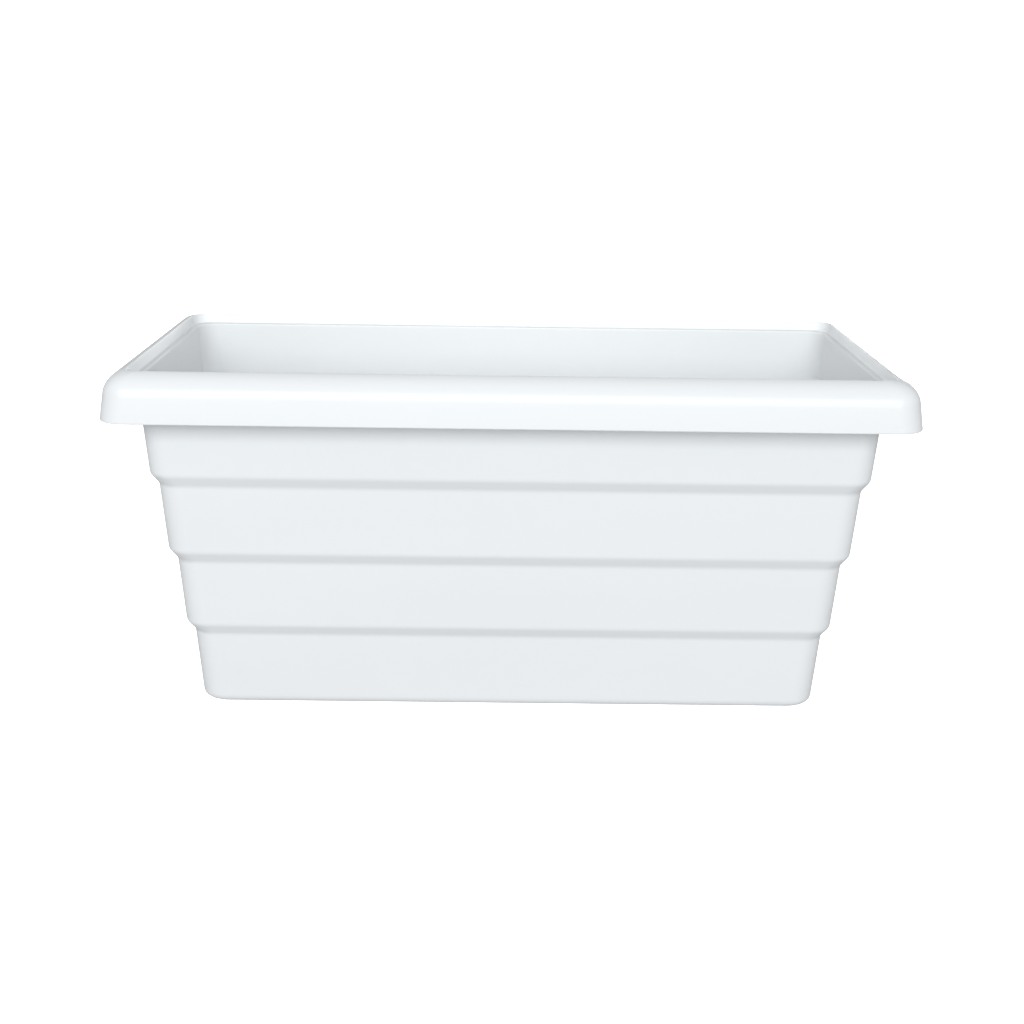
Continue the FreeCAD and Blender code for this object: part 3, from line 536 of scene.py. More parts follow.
def ring_of_slots_tree():
    """Slots round an upright axis, cut through a wall or, lying flat, through a floor."""
    tree, entry = new_tree("ring_of_slots", [
        ("Geometry", "geometry"), ("Count", "int"), ("Ring Radius", "float"), ("Centre", "vector"),
        ("Slot Width", "float"), ("Slot Height", "float"), ("Depth", "float"), ("Tilt", "float"),
        ("Material", "material")])
    values = entry.outputs
    cutter = add_slot_cutter(tree, values["Slot Width"], values["Slot Height"], values["Depth"])
    circle = add_node(tree, "GeometryNodeMeshCircle",
                      {"Vertices": values["Count"], "Radius": values["Ring Radius"]})
    index = add_node(tree, "GeometryNodeInputIndex")
    share = add_node(tree, "ShaderNodeMath", {0: index.outputs[0], 1: values["Count"]}, operation="DIVIDE")
    turn = add_node(tree, "ShaderNodeMath", {0: share.outputs[0], 1: 2 * math.pi}, operation="MULTIPLY")
    quarter = add_node(tree, "ShaderNodeMath", {0: turn.outputs[0], 1: math.pi / 2}, operation="ADD")
    facing = add_node(tree, "ShaderNodeCombineXYZ", {"X": values["Tilt"], "Z": quarter.outputs[0]})
    slots = add_node(tree, "GeometryNodeInstanceOnPoints",
                     {"Points": circle.outputs[0], "Instance": cutter, "Rotation": facing.outputs[0]})
    real = add_node(tree, "GeometryNodeRealizeInstances", {"Geometry": slots.outputs[0]})
    placed = add_node(tree, "GeometryNodeTransform",
                      {"Geometry": real.outputs[0], "Translation": values["Centre"]})
    cut = add_node(tree, "GeometryNodeMeshBoolean", operation="DIFFERENCE", solver="EXACT")
    tree.links.new(values["Geometry"], cut.inputs["Mesh 1"])
    tree.links.new(placed.outputs[0], cut.inputs["Mesh 2"])
    return end_tree(tree, entry, cut.outputs["Mesh"])


def vent_field_tree():
    """A field of vents in rows and columns through a level plate, left out near the pieces that pass
    through it.
    """
    tree, entry = new_tree("vent_field", [
        ("Geometry", "geometry"), ("Centre", "vector"), ("Size X", "float"), ("Size Y", "float"),
        ("Columns", "int"), ("Rows", "int"), ("Vent Width", "float"), ("Vent Length", "float"),
        ("Depth", "float"), ("Keep Out", "object"), ("Margin", "float"), ("Material", "material")])
    values = entry.outputs
    cutter = add_slot_cutter(tree, values["Vent Width"], values["Vent Length"], values["Depth"])
    grid = add_node(tree, "GeometryNodeMeshGrid",
                    {"Size X": values["Size X"], "Size Y": values["Size Y"],
                     "Vertices X": values["Columns"], "Vertices Y": values["Rows"]})
    placed = add_node(tree, "GeometryNodeTransform",
                      {"Geometry": grid.outputs[0], "Translation": values["Centre"]})
    keep_out = add_node(tree, "GeometryNodeObjectInfo", {"Object": values["Keep Out"]})
    distance = add_node(tree, "GeometryNodeProximity", {"Geometry": keep_out.outputs["Geometry"]},
                        target_element="FACES")
    near = add_node(tree, "FunctionNodeCompare", {0: distance.outputs["Distance"], 1: values["Margin"]},
                    operation="LESS_THAN")
    free = add_node(tree, "GeometryNodeDeleteGeometry",
                    {"Geometry": placed.outputs[0], "Selection": near.outputs[0]}, domain="POINT")
    vents = add_node(tree, "GeometryNodeInstanceOnPoints", {"Points": free.outputs[0], "Instance": cutter})
    real = add_node(tree, "GeometryNodeRealizeInstances", {"Geometry": vents.outputs[0]})
    cut = add_node(tree, "GeometryNodeMeshBoolean", operation="DIFFERENCE", solver="EXACT")
    tree.links.new(values["Geometry"], cut.inputs["Mesh 1"])
    tree.links.new(real.outputs[0], cut.inputs["Mesh 2"])
    return end_tree(tree, entry, cut.outputs["Mesh"])


def ring_of_ribs_tree():
    """Round-ended ribs that stand up on a round grip, about any upright axis before it is placed."""
    tree, entry = new_tree("ring_of_ribs", [
        ("Geometry", "geometry"), ("Count", "int"), ("Ring Radius", "float"), ("Rib Width", "float"),
        ("Rib Length", "float"), ("Placement", "vector"), ("Rotation", "vector"), ("Material", "material")])
    values = entry.outputs
    rib = add_node(tree, "GeometryNodeMeshCylinder",
                   {"Vertices": 10, "Side Segments": 1, "Fill Segments": 1, "Radius": values["Rib Width"],
                    "Depth": values["Rib Length"]})
    circle = add_node(tree, "GeometryNodeMeshCircle",
                      {"Vertices": values["Count"], "Radius": values["Ring Radius"]})
    ribs = add_node(tree, "GeometryNodeInstanceOnPoints",
                    {"Points": circle.outputs[0], "Instance": rib.outputs["Mesh"]})
    placed = add_node(tree, "GeometryNodeTransform",
                      {"Geometry": ribs.outputs[0], "Translation": values["Placement"],
                       "Rotation": values["Rotation"]})
    both = tree.nodes.new("GeometryNodeJoinGeometry")
    tree.links.new(values["Geometry"], both.inputs[0])
    tree.links.new(placed.outputs[0], both.inputs[0])
    return end_tree(tree, entry, both.outputs[0])


TREES = {}


def run_tree(piece, maker, **values):
    """Give a piece a tree, set its named inputs by their identifiers, and settle the result."""
    if maker not in TREES:
        TREES[maker] = maker()
    tree = TREES[maker]
    modifier = piece.modifiers.new(tree.name, "NODES")
    modifier.node_group = tree
    known = {item.name: item.identifier for item in tree.interface.items_tree if item.in_out == "INPUT"}
    modifier[known["Material"]] = piece.data.materials[0]
    for label, value in values.items():
        modifier[known[label.replace("_", " ").title()]] = value
    return settle(piece)


# ---------------------------------------------------------------------------------------------
# Pieces
# ---------------------------------------------------------------------------------------------

# Radii of the mouldings' edges, from the crispest to the fullest
CRISP, SHARP, FINE = 0.1 * MM, 0.2 * MM, 0.3 * MM
SOFT, ROUND, FULL = 0.4 * MM, 0.5 * MM, 0.8 * MM
MOULDED_WALL = 2 * MM


def middle(node):
    """Centre and the two corners of a CAD node."""
    low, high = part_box(node)
    return (low + high) / 2, low, high


def upright(node):
    """The foot, radius and height of a CAD node that is turned about an upright axis."""
    centre, low, high = middle(node)
    return Vector((centre.x, centre.y, low.z)), (high.x - low.x) / 2, high.z - low.z


def backward(node):
    """The inner end and length of a CAD node that is turned about an axis through the back wall."""
    centre, low, high = middle(node)
    return Vector((centre.x, low.y, centre.z)), high.y - low.y


def turned_piece(name, finish, outline, place, direction="Z", steps=TURN_STEPS):
    """A piece of one turned shape."""
    return make_piece(name, [turned(outline, place, direction, steps)], finish)


def sleeve(bore, outer, height, inner_edge, outer_edge):
    """The outline of a plain ring or pipe."""
    return [(bore, 0, inner_edge), (outer, 0, outer_edge), (outer, height, outer_edge),
            (bore, height, inner_edge)]


def make_seal(node, bore, radius):
    """A flat rubber washer against the back wall."""
    place, thickness = backward(node)
    outline = sleeve(bore, radius, thickness, FINE, ROUND)
    return settle(turned_piece(f"{node}_visual", "rubber", outline, place, "Y"))


class PLANTER_OT_trough(bpy.types.Operator):
    """Make the trough moulding: stepped walls, rolled rim, floor and the two bosses in its back wall"""
    bl_idname = "planter.trough"
    bl_label = "Trough"
    bl_options = {"REGISTER", "UNDO"}

    CHANNEL_EDGE = 3 * MM
    SEAT_EDGE = 1.2 * MM
    FLOOR_RUN = 20 * MM
    BOSS_RADIUS, BOSS_EDGE = 14.5 * MM, 0.6 * MM
    OVERFLOW_BORE, DRAIN_BORE = 6.1 * MM, 7.3 * MM
    PLUG_INSET, SEAT_CLEARANCE = 1 * MM, 0.1 * MM
    BORE_OVERRUN = 5 * MM

    def outer_inset(self, size, level, ledges):
        skirt_bottom = SHELL_HIGH.z - size.skirt_height
        return size.wall_inset + (skirt_bottom - level) * math.tan(size.draft) + ledges * size.ledge_width

    def shoulder(self, size, skirt_bottom):
        """The arc from the skirt to the crest, with the upright corner tightening on the way."""
        flare = math.tan(size.skirt_flare)
        rise = size.skirt_height - size.shoulder * math.sin(size.shoulder_end)
        centre = rise * flare + size.shoulder / math.cos(size.skirt_flare)
        points = []
        for step in range(SHOULDER_STEPS + 1):
            share = step / SHOULDER_STEPS
            turn = size.skirt_flare + (size.shoulder_end - size.skirt_flare) * share
            corner = size.rim_corner + (size.crest_corner - size.rim_corner) * share
            points.append((centre - size.shoulder * math.cos(turn),
                           skirt_bottom + rise + size.shoulder * math.sin(turn), 0, corner))
        return points

    def section(self, size):
        """The moulding's section as inset, level, edge radius and the radius of the upright corner."""
        top = SHELL_HIGH.z
        skirt_bottom = top - size.skirt_height
        highest = skirt_bottom - size.top_tier
        ledge_tops = [size.lowest_ledge, (size.lowest_ledge + highest) / 2, highest]
        bends = []
        for passed, ledge in enumerate(ledge_tops):
            bends.append((ledge - size.ledge_height, 3 - passed))
            bends.append((ledge, 2 - passed))
        lip_floor = top - size.lip_depth
        channel = lip_floor - size.wall
        channel_run = size.wall + (channel - skirt_bottom) * math.tan(size.skirt_flare)
        shoulder = self.shoulder(size, skirt_bottom)
        crest = shoulder[-1][0] + size.crest_width
        inner_corner = size.body_corner - size.wall
        channel_corner = size.rim_corner - size.wall
        corners = [(self.outer_inset(size, 0, 3), 0, size.base_round, size.body_corner)]
        corners += [(self.outer_inset(size, level, ledges), level, size.ledge_round, size.body_corner)
                    for level, ledges in bends]
        corners += [
            (self.outer_inset(size, channel, 0), channel, self.CHANNEL_EDGE, size.body_corner),
            (channel_run, channel, self.CHANNEL_EDGE, channel_corner),
            (size.wall, skirt_bottom, FULL, channel_corner),
            (0, skirt_bottom, FULL, size.rim_corner),
            *shoulder,
            (crest, top, FULL, size.crest_corner),
            (crest + size.lip_run, lip_floor, FULL, size.crest_corner),
            (self.outer_inset(size, lip_floor, 0) + size.wall, lip_floor, self.SEAT_EDGE, inner_corner),
        ]
        corners += [(self.outer_inset(size, level, ledges) + size.wall, level, size.ledge_round,
                     inner_corner) for level, ledges in reversed(bends)]
        corners.append((self.outer_inset(size, size.floor, 3) + size.wall, size.floor,
                        size.base_round - size.wall, inner_corner))
        return corners

    def boss_and_bore(self, node, face, back, radius):
        """A round boss inside the back wall, and the bore that goes through it."""
        centre = middle(node)[0]
        place = Vector((centre.x, back, centre.z))
        depth = face - back
        boss = turned([(0, 0, 0), (self.BOSS_RADIUS, 0, self.BOSS_EDGE),
                       (self.BOSS_RADIUS, depth, self.BOSS_EDGE), (0, depth, 0)], place, "Y")
        start = place - Vector((0, self.BORE_OVERRUN, 0))
        reach = depth + 2 * self.BORE_OVERRUN
        bore = turned([(0, 0, 0), (radius, 0, 0), (radius, reach, 0), (0, reach, 0)], start, "Y", 48)
        return boss, bore

    def execute(self, context):
        size = context.scene.planter_shell
        section = self.section(size)
        ends = [(section[0][0] + self.FLOOR_RUN, 0, 0, size.body_corner)]
        ends_inside = [(section[-1][0] + self.FLOOR_RUN, size.floor, 0, size.body_corner)]
        rings = [rounded_rectangle(SHELL_HIGH.x - inset, SHELL_HIGH.y - inset, corner, level)
                 for inset, level, corner in round_outline(ends + section + ends_inside, closed=False)]
        piece = make_piece("trough", [skin_rings(rings, loop=False)], "shell")
        settle(piece)
        overflow = self.boss_and_bore("overflow_spout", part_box("overflow_seal")[0].y,
                                      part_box("overflow_nut")[1].y, self.OVERFLOW_BORE)
        drain = self.boss_and_bore("drain_plug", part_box("drain_seal")[0].y - self.SEAT_CLEARANCE,
                                   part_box("drain_plug")[0].y + self.PLUG_INSET, self.DRAIN_BORE)
        bosses, bores = zip(overflow, drain)
        cut_with(piece, bosses, "UNION")
        cut_with(piece, bores)
        finish_piece(piece, "planter", "shell_white", "planter_shell")
        return {"FINISHED"}


class PLANTER_OT_overflow(bpy.types.Operator):
    """Make the overflow: barbed spout, seal and clamping nut"""
    bl_idname = "planter.overflow"
    bl_label = "Overflow"
    bl_options = {"REGISTER", "UNDO"}

    BORE, BARREL, VALLEY = 4.2 * MM, 6 * MM, 5.3 * MM
    BARREL_CLEARANCE = 0.1 * MM
    FLANGE_RADIUS, FLANGE_WIDTH = 12 * MM, 2.5 * MM
    FLANGE_EDGE, THREAD_EDGE, BARB_EDGE = 0.6 * MM, 0.05 * MM, 0.15 * MM
    THREADS, BARBS = 4, 3
    NUT_STEPS, NUT_CHAMFER, NUT_NECK = 72, 0.8 * MM, 0.87
    NUT_TURN, HALF_SIDE = math.radians(15), math.radians(30)

    def execute(self, context):
        place, end = backward("overflow_spout")
        nut_low, nut_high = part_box("overflow_nut")
        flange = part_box("overflow_seal")[1].y - place.y
        shoulder = flange + self.FLANGE_WIDTH
        pitch = (nut_high.y - nut_low.y) / self.THREADS
        rise = (end - shoulder) / (self.BARBS + 1)
        outline = [(self.BORE, 0, FINE), (self.BARREL, 0, SOFT)]
        for turn in range(self.THREADS):
            foot = 0.5 * MM + turn * pitch
            outline += [(self.BARREL, foot + 0.30 * pitch, self.THREAD_EDGE),
                        (self.VALLEY + FINE, foot + 0.62 * pitch, self.THREAD_EDGE),
                        (self.BARREL, foot + 0.94 * pitch, self.THREAD_EDGE)]
        outline += [(self.BARREL, flange, CRISP), (self.FLANGE_RADIUS, flange, SOFT),
                    (self.FLANGE_RADIUS, shoulder, self.FLANGE_EDGE), (self.VALLEY, shoulder, ROUND)]
        for barb in range(1, self.BARBS + 1):
            foot = shoulder + barb * rise
            outline += [(self.VALLEY, foot - 0.05 * rise, CRISP), (self.BARREL, foot, self.BARB_EDGE),
                        (self.VALLEY, foot + 0.80 * rise, CRISP)]
        outline += [(self.VALLEY - SHARP, end, FINE), (self.BORE, end, FINE)]
        spout = turned_piece("overflow_spout_visual", "insert", outline, place, "Y")
        finish_piece(settle(spout), "planter", "insert_grey", "overflow_spout")

        seal = make_seal("overflow_seal", self.BARREL + self.BARREL_CLEARANCE, self.FLANGE_RADIUS)
        finish_piece(seal, "planter", "seal_black", "overflow_seal")

        nut = make_piece("overflow_nut_visual", [self.nut(nut_low, nut_high)], "insert")
        finish_piece(settle(nut), "planter", "insert_grey", "overflow_nut")
        return {"FINISHED"}

    def nut(self, low, high):
        """A six-sided nut with its ends turned down to a cone."""
        centre = (low + high) / 2
        across = (high.x - low.x) / 2 / math.cos(self.NUT_TURN)
        bore = self.BARREL + self.BARREL_CLEARANCE
        depth = high.y - low.y
        rings = []
        for radius, level, hexagonal in ((bore, 0, False), (across * self.NUT_NECK, 0, False),
                                         (across, self.NUT_CHAMFER, True),
                                         (across, depth - self.NUT_CHAMFER, True),
                                         (across * self.NUT_NECK, depth, False), (bore, depth, False)):
            ring = []
            for step in range(self.NUT_STEPS):
                turn = 2 * math.pi * step / self.NUT_STEPS
                sector = (turn - self.NUT_TURN + self.HALF_SIDE) % (2 * self.HALF_SIDE) - self.HALF_SIDE
                flat = math.cos(self.HALF_SIDE) / math.cos(self.HALF_SIDE - abs(sector))
                reach = radius * flat if hexagonal else radius
                ring.append(Vector((centre.x + reach * math.cos(turn), low.y + level,
                                    centre.z + reach * math.sin(turn))))
            rings.append(ring)
        return skin_rings(rings, loop=True)


class PLANTER_OT_drain(bpy.types.Operator):
    """Make the drain plug with its ribbed pull, and its seal"""
    bl_idname = "planter.drain"
    bl_label = "Drain plug"
    bl_options = {"REGISTER", "UNDO"}

    NOSE, SHANK, TAPER = 6.3 * MM, 7 * MM, 2.5 * MM
    FLANGE_RADIUS, FLANGE_WIDTH = 10.5 * MM, 2.5 * MM
    GRIP, HEAD, HOLLOW = 4.4 * MM, 5 * MM, 2.4 * MM
    HEAD_FOOT, HEAD_RIM = 2 * MM, 1.6 * MM
    SOFT_CORNER = 1 * MM
    RIB_RING, RIB_RADIUS, RIB_MARGIN = 4.35 * MM, 0.45 * MM, 2.4 * MM

    def execute(self, context):
        place, end = backward("drain_plug")
        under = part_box("drain_seal")[1].y - place.y
        outer = under + self.FLANGE_WIDTH
        outline = [(0, 0, 0), (self.NOSE, 0, FULL), (self.SHANK, self.TAPER, self.SOFT_CORNER),
                   (self.SHANK, under, SHARP), (self.FLANGE_RADIUS, under, SOFT),
                   (self.FLANGE_RADIUS, outer, FULL), (self.GRIP, outer, self.SOFT_CORNER),
                   (self.GRIP, end - self.HEAD_FOOT, FULL), (self.HEAD, end - self.HEAD_RIM, SOFT),
                   (self.HEAD, end, FULL), (self.HOLLOW, end, ROUND), (0, end - FULL, 0)]
        plug = turned_piece("drain_plug_visual", "insert", outline, place, "Y")
        grip = place + Vector((0, (outer + end - self.HEAD_FOOT) / 2, 0))
        run_tree(plug, ring_of_ribs_tree, count=context.scene.planter_detail.grip_ribs,
                 ring_radius=self.RIB_RING, rib_width=self.RIB_RADIUS,
                 rib_length=end - self.RIB_MARGIN - outer, placement=grip, rotation=(math.pi / 2, 0, 0))
        finish_piece(plug, "drain", "insert_grey", "drain_plug")
        seal = make_seal("drain_seal", self.SHANK + 0.1 * MM, self.FLANGE_RADIUS)
        finish_piece(seal, "drain", "seal_black", "drain_seal")
        return {"FINISHED"}


class PLANTER_OT_platform(bpy.types.Operator):
    """Make the false bottom: an edged plate with vents, sockets below and collars above"""
    bl_idname = "planter.platform"
    bl_label = "False bottom"
    bl_options = {"REGISTER", "UNDO"}

    SOCKET, PLATE, LIP = 6 * MM, 3 * MM, 2 * MM
    CORNER, PLATE_RUN = 12.4 * MM, 20 * MM
    UNDER_EDGE, PLATE_EDGE = 1 * MM, 1.2 * MM
    CLEARANCE, SINK = 0.1 * MM, 0.4 * MM
    CUP_HOLE, POST_SOCKET = 30.5 * MM, 8.1 * MM
    OVERRUN = 1 * MM
    PASSAGE_MARGIN, POST_MARGIN, CAGE_MARGIN = 5 * MM, 10 * MM, 2 * MM
    FIELD_MARGIN = 16 * MM

    def execute(self, context):
        centre, low, high = middle("soil_platform")
        under = low.z + self.SOCKET
        top = under + self.PLATE
        section = [(self.PLATE_RUN, under, 0, self.CORNER), (0, under, self.UNDER_EDGE, self.CORNER),
                   (0, high.z, FULL, self.CORNER), (self.LIP, high.z, FULL, self.CORNER - self.LIP),
                   (self.LIP, top, self.PLATE_EDGE, self.CORNER - self.LIP),
                   (self.PLATE_RUN, top, 0, self.CORNER - self.LIP)]
        rings = [rounded_rectangle(high.x - inset, high.y - inset, radius, level)
                 for inset, level, radius in round_outline(section, closed=False)]
        piece = make_piece("false_bottom", [skin_rings(rings, loop=False)], "insert")

        tube, tube_radius = self.passage("fill_tube")
        gauge, gauge_radius = self.passage("gauge_tube")
        cage, cage_radius = self.passage("float_cage")
        passages = [(tube, tube_radius), (gauge, gauge_radius)]
        for side in ("left", "right"):
            passages.append((middle(f"wick_cup_{side}")[0], self.CUP_HOLE))
        reach = self.PLATE + 2 * self.OVERRUN
        cut_with(piece, [turned([(0, 0, 0), (radius, 0, 0), (radius, reach, 0), (0, reach, 0)],
                                Vector((place.x, place.y, under - self.OVERRUN)))
                         for place, radius in passages])

        posts = [middle(name)[0] for name in POSTS]
        keep_out = [(place.x, place.y, radius + self.PASSAGE_MARGIN) for place, radius in passages]
        keep_out += [(post.x, post.y, self.POST_MARGIN) for post in posts]
        keep_out.append((cage.x, cage.y, cage_radius + self.CAGE_MARGIN))
        heart = Vector((centre.x, centre.y, under + self.PLATE / 2))
        self.cut_vents(piece, context.scene.planter_detail, heart, high, self.barrier(keep_out, top))
        below = under - self.SOCKET
        above = top - self.SINK
        rings = [self.ring(post, self.POST_SOCKET, below) for post in posts]
        rings += [self.ring(cage, cage_radius, below), self.ring(tube, tube_radius, above),
                  self.ring(gauge, gauge_radius, above)]
        collars = make_piece("false_bottom_collars", rings, "insert")
        finish_piece(piece, "insert", "insert_grey", "soil_platform")
        finish_piece(settle(collars), "insert", "insert_grey")
        return {"FINISHED"}

    def passage(self, node):
        """The place of an upright pipe and the radius of the hole that it passes through."""
        place, radius, _ = upright(node)
        return place, radius + self.CLEARANCE

    def cut_vents(self, piece, detail, centre, half, barrier):
        columns = int((2 * half.x - self.FIELD_MARGIN) / detail.vent_pitch) + 1
        rows = int((2 * half.y - self.FIELD_MARGIN) / detail.vent_pitch) + 1
        run_tree(piece, vent_field_tree, centre=centre, size_x=(columns - 1) * detail.vent_pitch,
                 size_y=(rows - 1) * detail.vent_pitch, columns=columns, rows=rows,
                 vent_width=detail.vent_width, vent_length=detail.vent_length, depth=self.PLATE * 2,
                 keep_out=barrier, margin=detail.vent_length * 0.6)
        bpy.data.objects.remove(barrier)

    def ring(self, place, bore, level):
        outline = sleeve(bore, bore + MOULDED_WALL, self.SOCKET + self.SINK, FINE, SOFT)
        return turned(outline, Vector((place.x, place.y, level)), "Z", 48)

    def barrier(self, discs, level):
        """Flat discs that the vents keep away from."""
        mesh = bmesh.new()
        for x, y, radius in discs:
            bmesh.ops.create_circle(mesh, cap_ends=True, segments=32, radius=radius,
                                    matrix=Matrix.Translation((x, y, level)))
        return make_piece("barrier", [mesh], "insert")


class PLANTER_OT_posts(bpy.types.Operator):
    """Make the columns under the false bottom"""
    bl_idname = "planter.posts"
    bl_label = "Support posts"
    bl_options = {"REGISTER", "UNDO"}

    BORE, COLUMN = 6 * MM, 8 * MM
    FOOT_HEIGHT, FOOT_FILLET = 2 * MM, 1.6 * MM

    def execute(self, context):
        for name in POSTS:
            place, foot, height = upright(name)
            outline = [(self.BORE, 0, FINE), (foot, 0, SOFT), (foot, self.FOOT_HEIGHT, FULL),
                       (self.COLUMN, self.FOOT_HEIGHT, self.FOOT_FILLET), (self.COLUMN, height, ROUND),
                       (self.BORE, height, SOFT)]
            post = turned_piece(f"{name}_visual", "insert", outline, place)
            finish_piece(settle(post), "insert", "insert_grey", name)
        return {"FINISHED"}


class PLANTER_OT_cups(bpy.types.Operator):
    """Make the two wicking cups with their slots and drip holes"""
    bl_idname = "planter.cups"
    bl_label = "Wicking cups"
    bl_options = {"REGISTER", "UNDO"}

    MOUTH, FOOT = 30 * MM, 24 * MM
    FOOT_EDGE, INNER_EDGE, MOUTH_EDGE = 2.5 * MM, 1.5 * MM, 1.2 * MM
    SLOT_WIDTH, SLOT_HEIGHT, SLOT_DEPTH, SLOT_DROP = 2.4 * MM, 34 * MM, 16 * MM, 2 * MM
    DRIP_WIDTH, DRIP_HEIGHT = 3 * MM, 4.5 * MM
    DRIP_RINGS = ((6, 8 * MM), (12, 16 * MM))

    def execute(self, context):
        for side in ("left", "right"):
            node = f"wick_cup_{side}"
            place, flange, height = upright(node)
            wall = MOULDED_WALL
            rim = height - wall
            outline = [(0, 0, 0), (self.FOOT, 0, self.FOOT_EDGE), (self.MOUTH, rim, SOFT),
                       (flange, rim, ROUND), (flange, rim + wall, FULL),
                       (self.MOUTH - wall, rim + wall, self.MOUTH_EDGE),
                       (self.FOOT - wall, wall, self.INNER_EDGE), (0, wall, 0)]
            cup = turned_piece(f"{node}_visual", "insert", outline, place, "Z", 96)
            run_tree(cup, ring_of_slots_tree, count=context.scene.planter_detail.cup_slots,
                     ring_radius=(self.FOOT + self.MOUTH) / 2,
                     centre=place + Vector((0, 0, rim / 2 - self.SLOT_DROP)), slot_width=self.SLOT_WIDTH,
                     slot_height=self.SLOT_HEIGHT, depth=self.SLOT_DEPTH, tilt=math.pi / 2)
            for count, reach in self.DRIP_RINGS:
                run_tree(cup, ring_of_slots_tree, count=count, ring_radius=reach,
                         centre=place + Vector((0, 0, wall / 2)), slot_width=self.DRIP_WIDTH,
                         slot_height=self.DRIP_HEIGHT, depth=3 * wall, tilt=0.0)
            finish_piece(cup, f"cup_{side}", "insert_grey", node)
        return {"FINISHED"}


class PLANTER_OT_filler(bpy.types.Operator):
    """Make the fill tube, the funnel with its hinge ears, and the strainer"""
    bl_idname = "planter.filler"
    bl_label = "Filler"
    bl_options = {"REGISTER", "UNDO"}

    INLETS, INLET_WIDTH, INLET_HEIGHT, INLET_DEPTH = 4, 5 * MM, 14 * MM, 8 * MM
    CUP_HEIGHT, SEAT, SEAT_WIDTH, SEAT_THICKNESS = 24 * MM, 20 * MM, 2.5 * MM, 3 * MM
    SLEEVE_HEIGHT, TUBE_STOP, CLEARANCE = 7 * MM, 8 * MM, 0.1 * MM
    NECK_FILLET, BELLY_FILLET, SEAT_FILLET, MOUTH_EDGE = 2 * MM, 2.5 * MM, 1.5 * MM, 0.7 * MM
    KNUCKLE, EAR_NEAR, EAR_FAR, EAR_EDGE = 2.4 * MM, 5.8 * MM, 8.8 * MM, 0.35 * MM
    EAR_DROP, EAR_STEP, MOUTH_INNER_EDGE = 5 * MM, 1 * MM, 0.6 * MM
    SIEVE_WALL, SIEVE_RIM, SIEVE_FOOT = 1.5 * MM, 2.8 * MM, 9.5 * MM
    SIEVE_RINGS = ((5, 2.6 * MM), (10, 5.8 * MM))
    SIEVE_HOLE_WIDTH, SIEVE_HOLE_LENGTH = 1.3 * MM, 2.2 * MM

    def execute(self, context):
        self.tube()
        self.funnel()
        self.strainer()
        return {"FINISHED"}

    def tube(self):
        place, radius, height = upright("fill_tube")
        outline = sleeve(radius - MOULDED_WALL, radius, height, FINE, SOFT)
        tube = turned_piece("fill_tube_visual", "insert", outline, place)
        run_tree(tube, ring_of_slots_tree, count=self.INLETS, ring_radius=radius, centre=place,
                 slot_width=self.INLET_WIDTH, slot_height=self.INLET_HEIGHT, depth=self.INLET_DEPTH,
                 tilt=math.pi / 2)
        finish_piece(tube, "insert", "insert_grey", "fill_tube")

    def funnel(self):
        centre, radius, _ = upright("fill_tube")
        wall = MOULDED_WALL
        funnel_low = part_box("fill_funnel")[0]
        base = Vector((centre.x, centre.y, funnel_low.z))
        mouth = centre.x - funnel_low.x
        bore = radius + self.CLEARANCE
        ledge = mouth - wall - self.SEAT_WIDTH
        under_seat = self.SEAT - self.SEAT_THICKNESS
        outline = [(bore, 0, FINE), (bore + wall, 0, ROUND),
                   (bore + wall, self.SLEEVE_HEIGHT, self.NECK_FILLET),
                   (mouth, under_seat, self.BELLY_FILLET), (mouth, self.CUP_HEIGHT, self.MOUTH_EDGE),
                   (mouth - wall, self.CUP_HEIGHT, self.MOUTH_INNER_EDGE),
                   (mouth - wall, self.SEAT, SHARP), (ledge, self.SEAT, SOFT),
                   (ledge, under_seat, self.SEAT_FILLET),
                   (radius - wall, self.TUBE_STOP, 1 * MM), (bore, self.TUBE_STOP, CRISP)]
        meshes = [turned(outline, base, "Z", 96)]
        pin = middle("lid_pin")[0]
        knuckle = self.KNUCKLE
        wall_y = centre.y + mouth - wall - ROUND
        ear_low = base.z + self.SEAT - self.EAR_DROP
        ear_high = base.z + self.CUP_HEIGHT - self.EAR_STEP
        shape = [(wall_y, ear_low), (wall_y, ear_high),
                 (pin.y - knuckle, ear_high), (pin.y - knuckle, pin.z + knuckle / 2),
                 (pin.y - knuckle / 2, pin.z + knuckle), (pin.y + knuckle / 2, pin.z + knuckle),
                 (pin.y + knuckle, pin.z + knuckle / 2), (pin.y + knuckle, pin.z - knuckle / 2)]
        for start, end in ((-self.EAR_FAR, -self.EAR_NEAR), (self.EAR_NEAR, self.EAR_FAR)):
            meshes.append(prism(shape, "X", pin.x + start, pin.x + end, self.EAR_EDGE))
        funnel = make_piece("fill_funnel_visual", meshes, "insert")
        finish_piece(settle(funnel), "insert", "insert_grey", "fill_funnel")

    def strainer(self):
        place, flange, height = upright("fill_strainer")
        thickness = self.SIEVE_WALL
        hang = height - thickness
        basket = flange - self.SIEVE_RIM
        foot = self.SIEVE_FOOT
        outline = [(0, 0, 0), (foot, 0, 1 * MM), (basket, hang, FINE), (flange, hang, SOFT),
                   (flange, hang + thickness, ROUND), (basket - thickness, hang + thickness, FULL),
                   (foot - thickness, thickness, FULL), (0, thickness, 0)]
        strainer = turned_piece("fill_strainer_visual", "strainer", outline, place, "Z", 96)
        for count, reach in self.SIEVE_RINGS:
            run_tree(strainer, ring_of_slots_tree, count=count, ring_radius=reach,
                     centre=place + Vector((0, 0, thickness / 2)), slot_width=self.SIEVE_HOLE_WIDTH,
                     slot_height=self.SIEVE_HOLE_LENGTH, depth=3 * thickness, tilt=0.0)
        finish_piece(strainer, "insert", "strainer_grey", "fill_strainer")


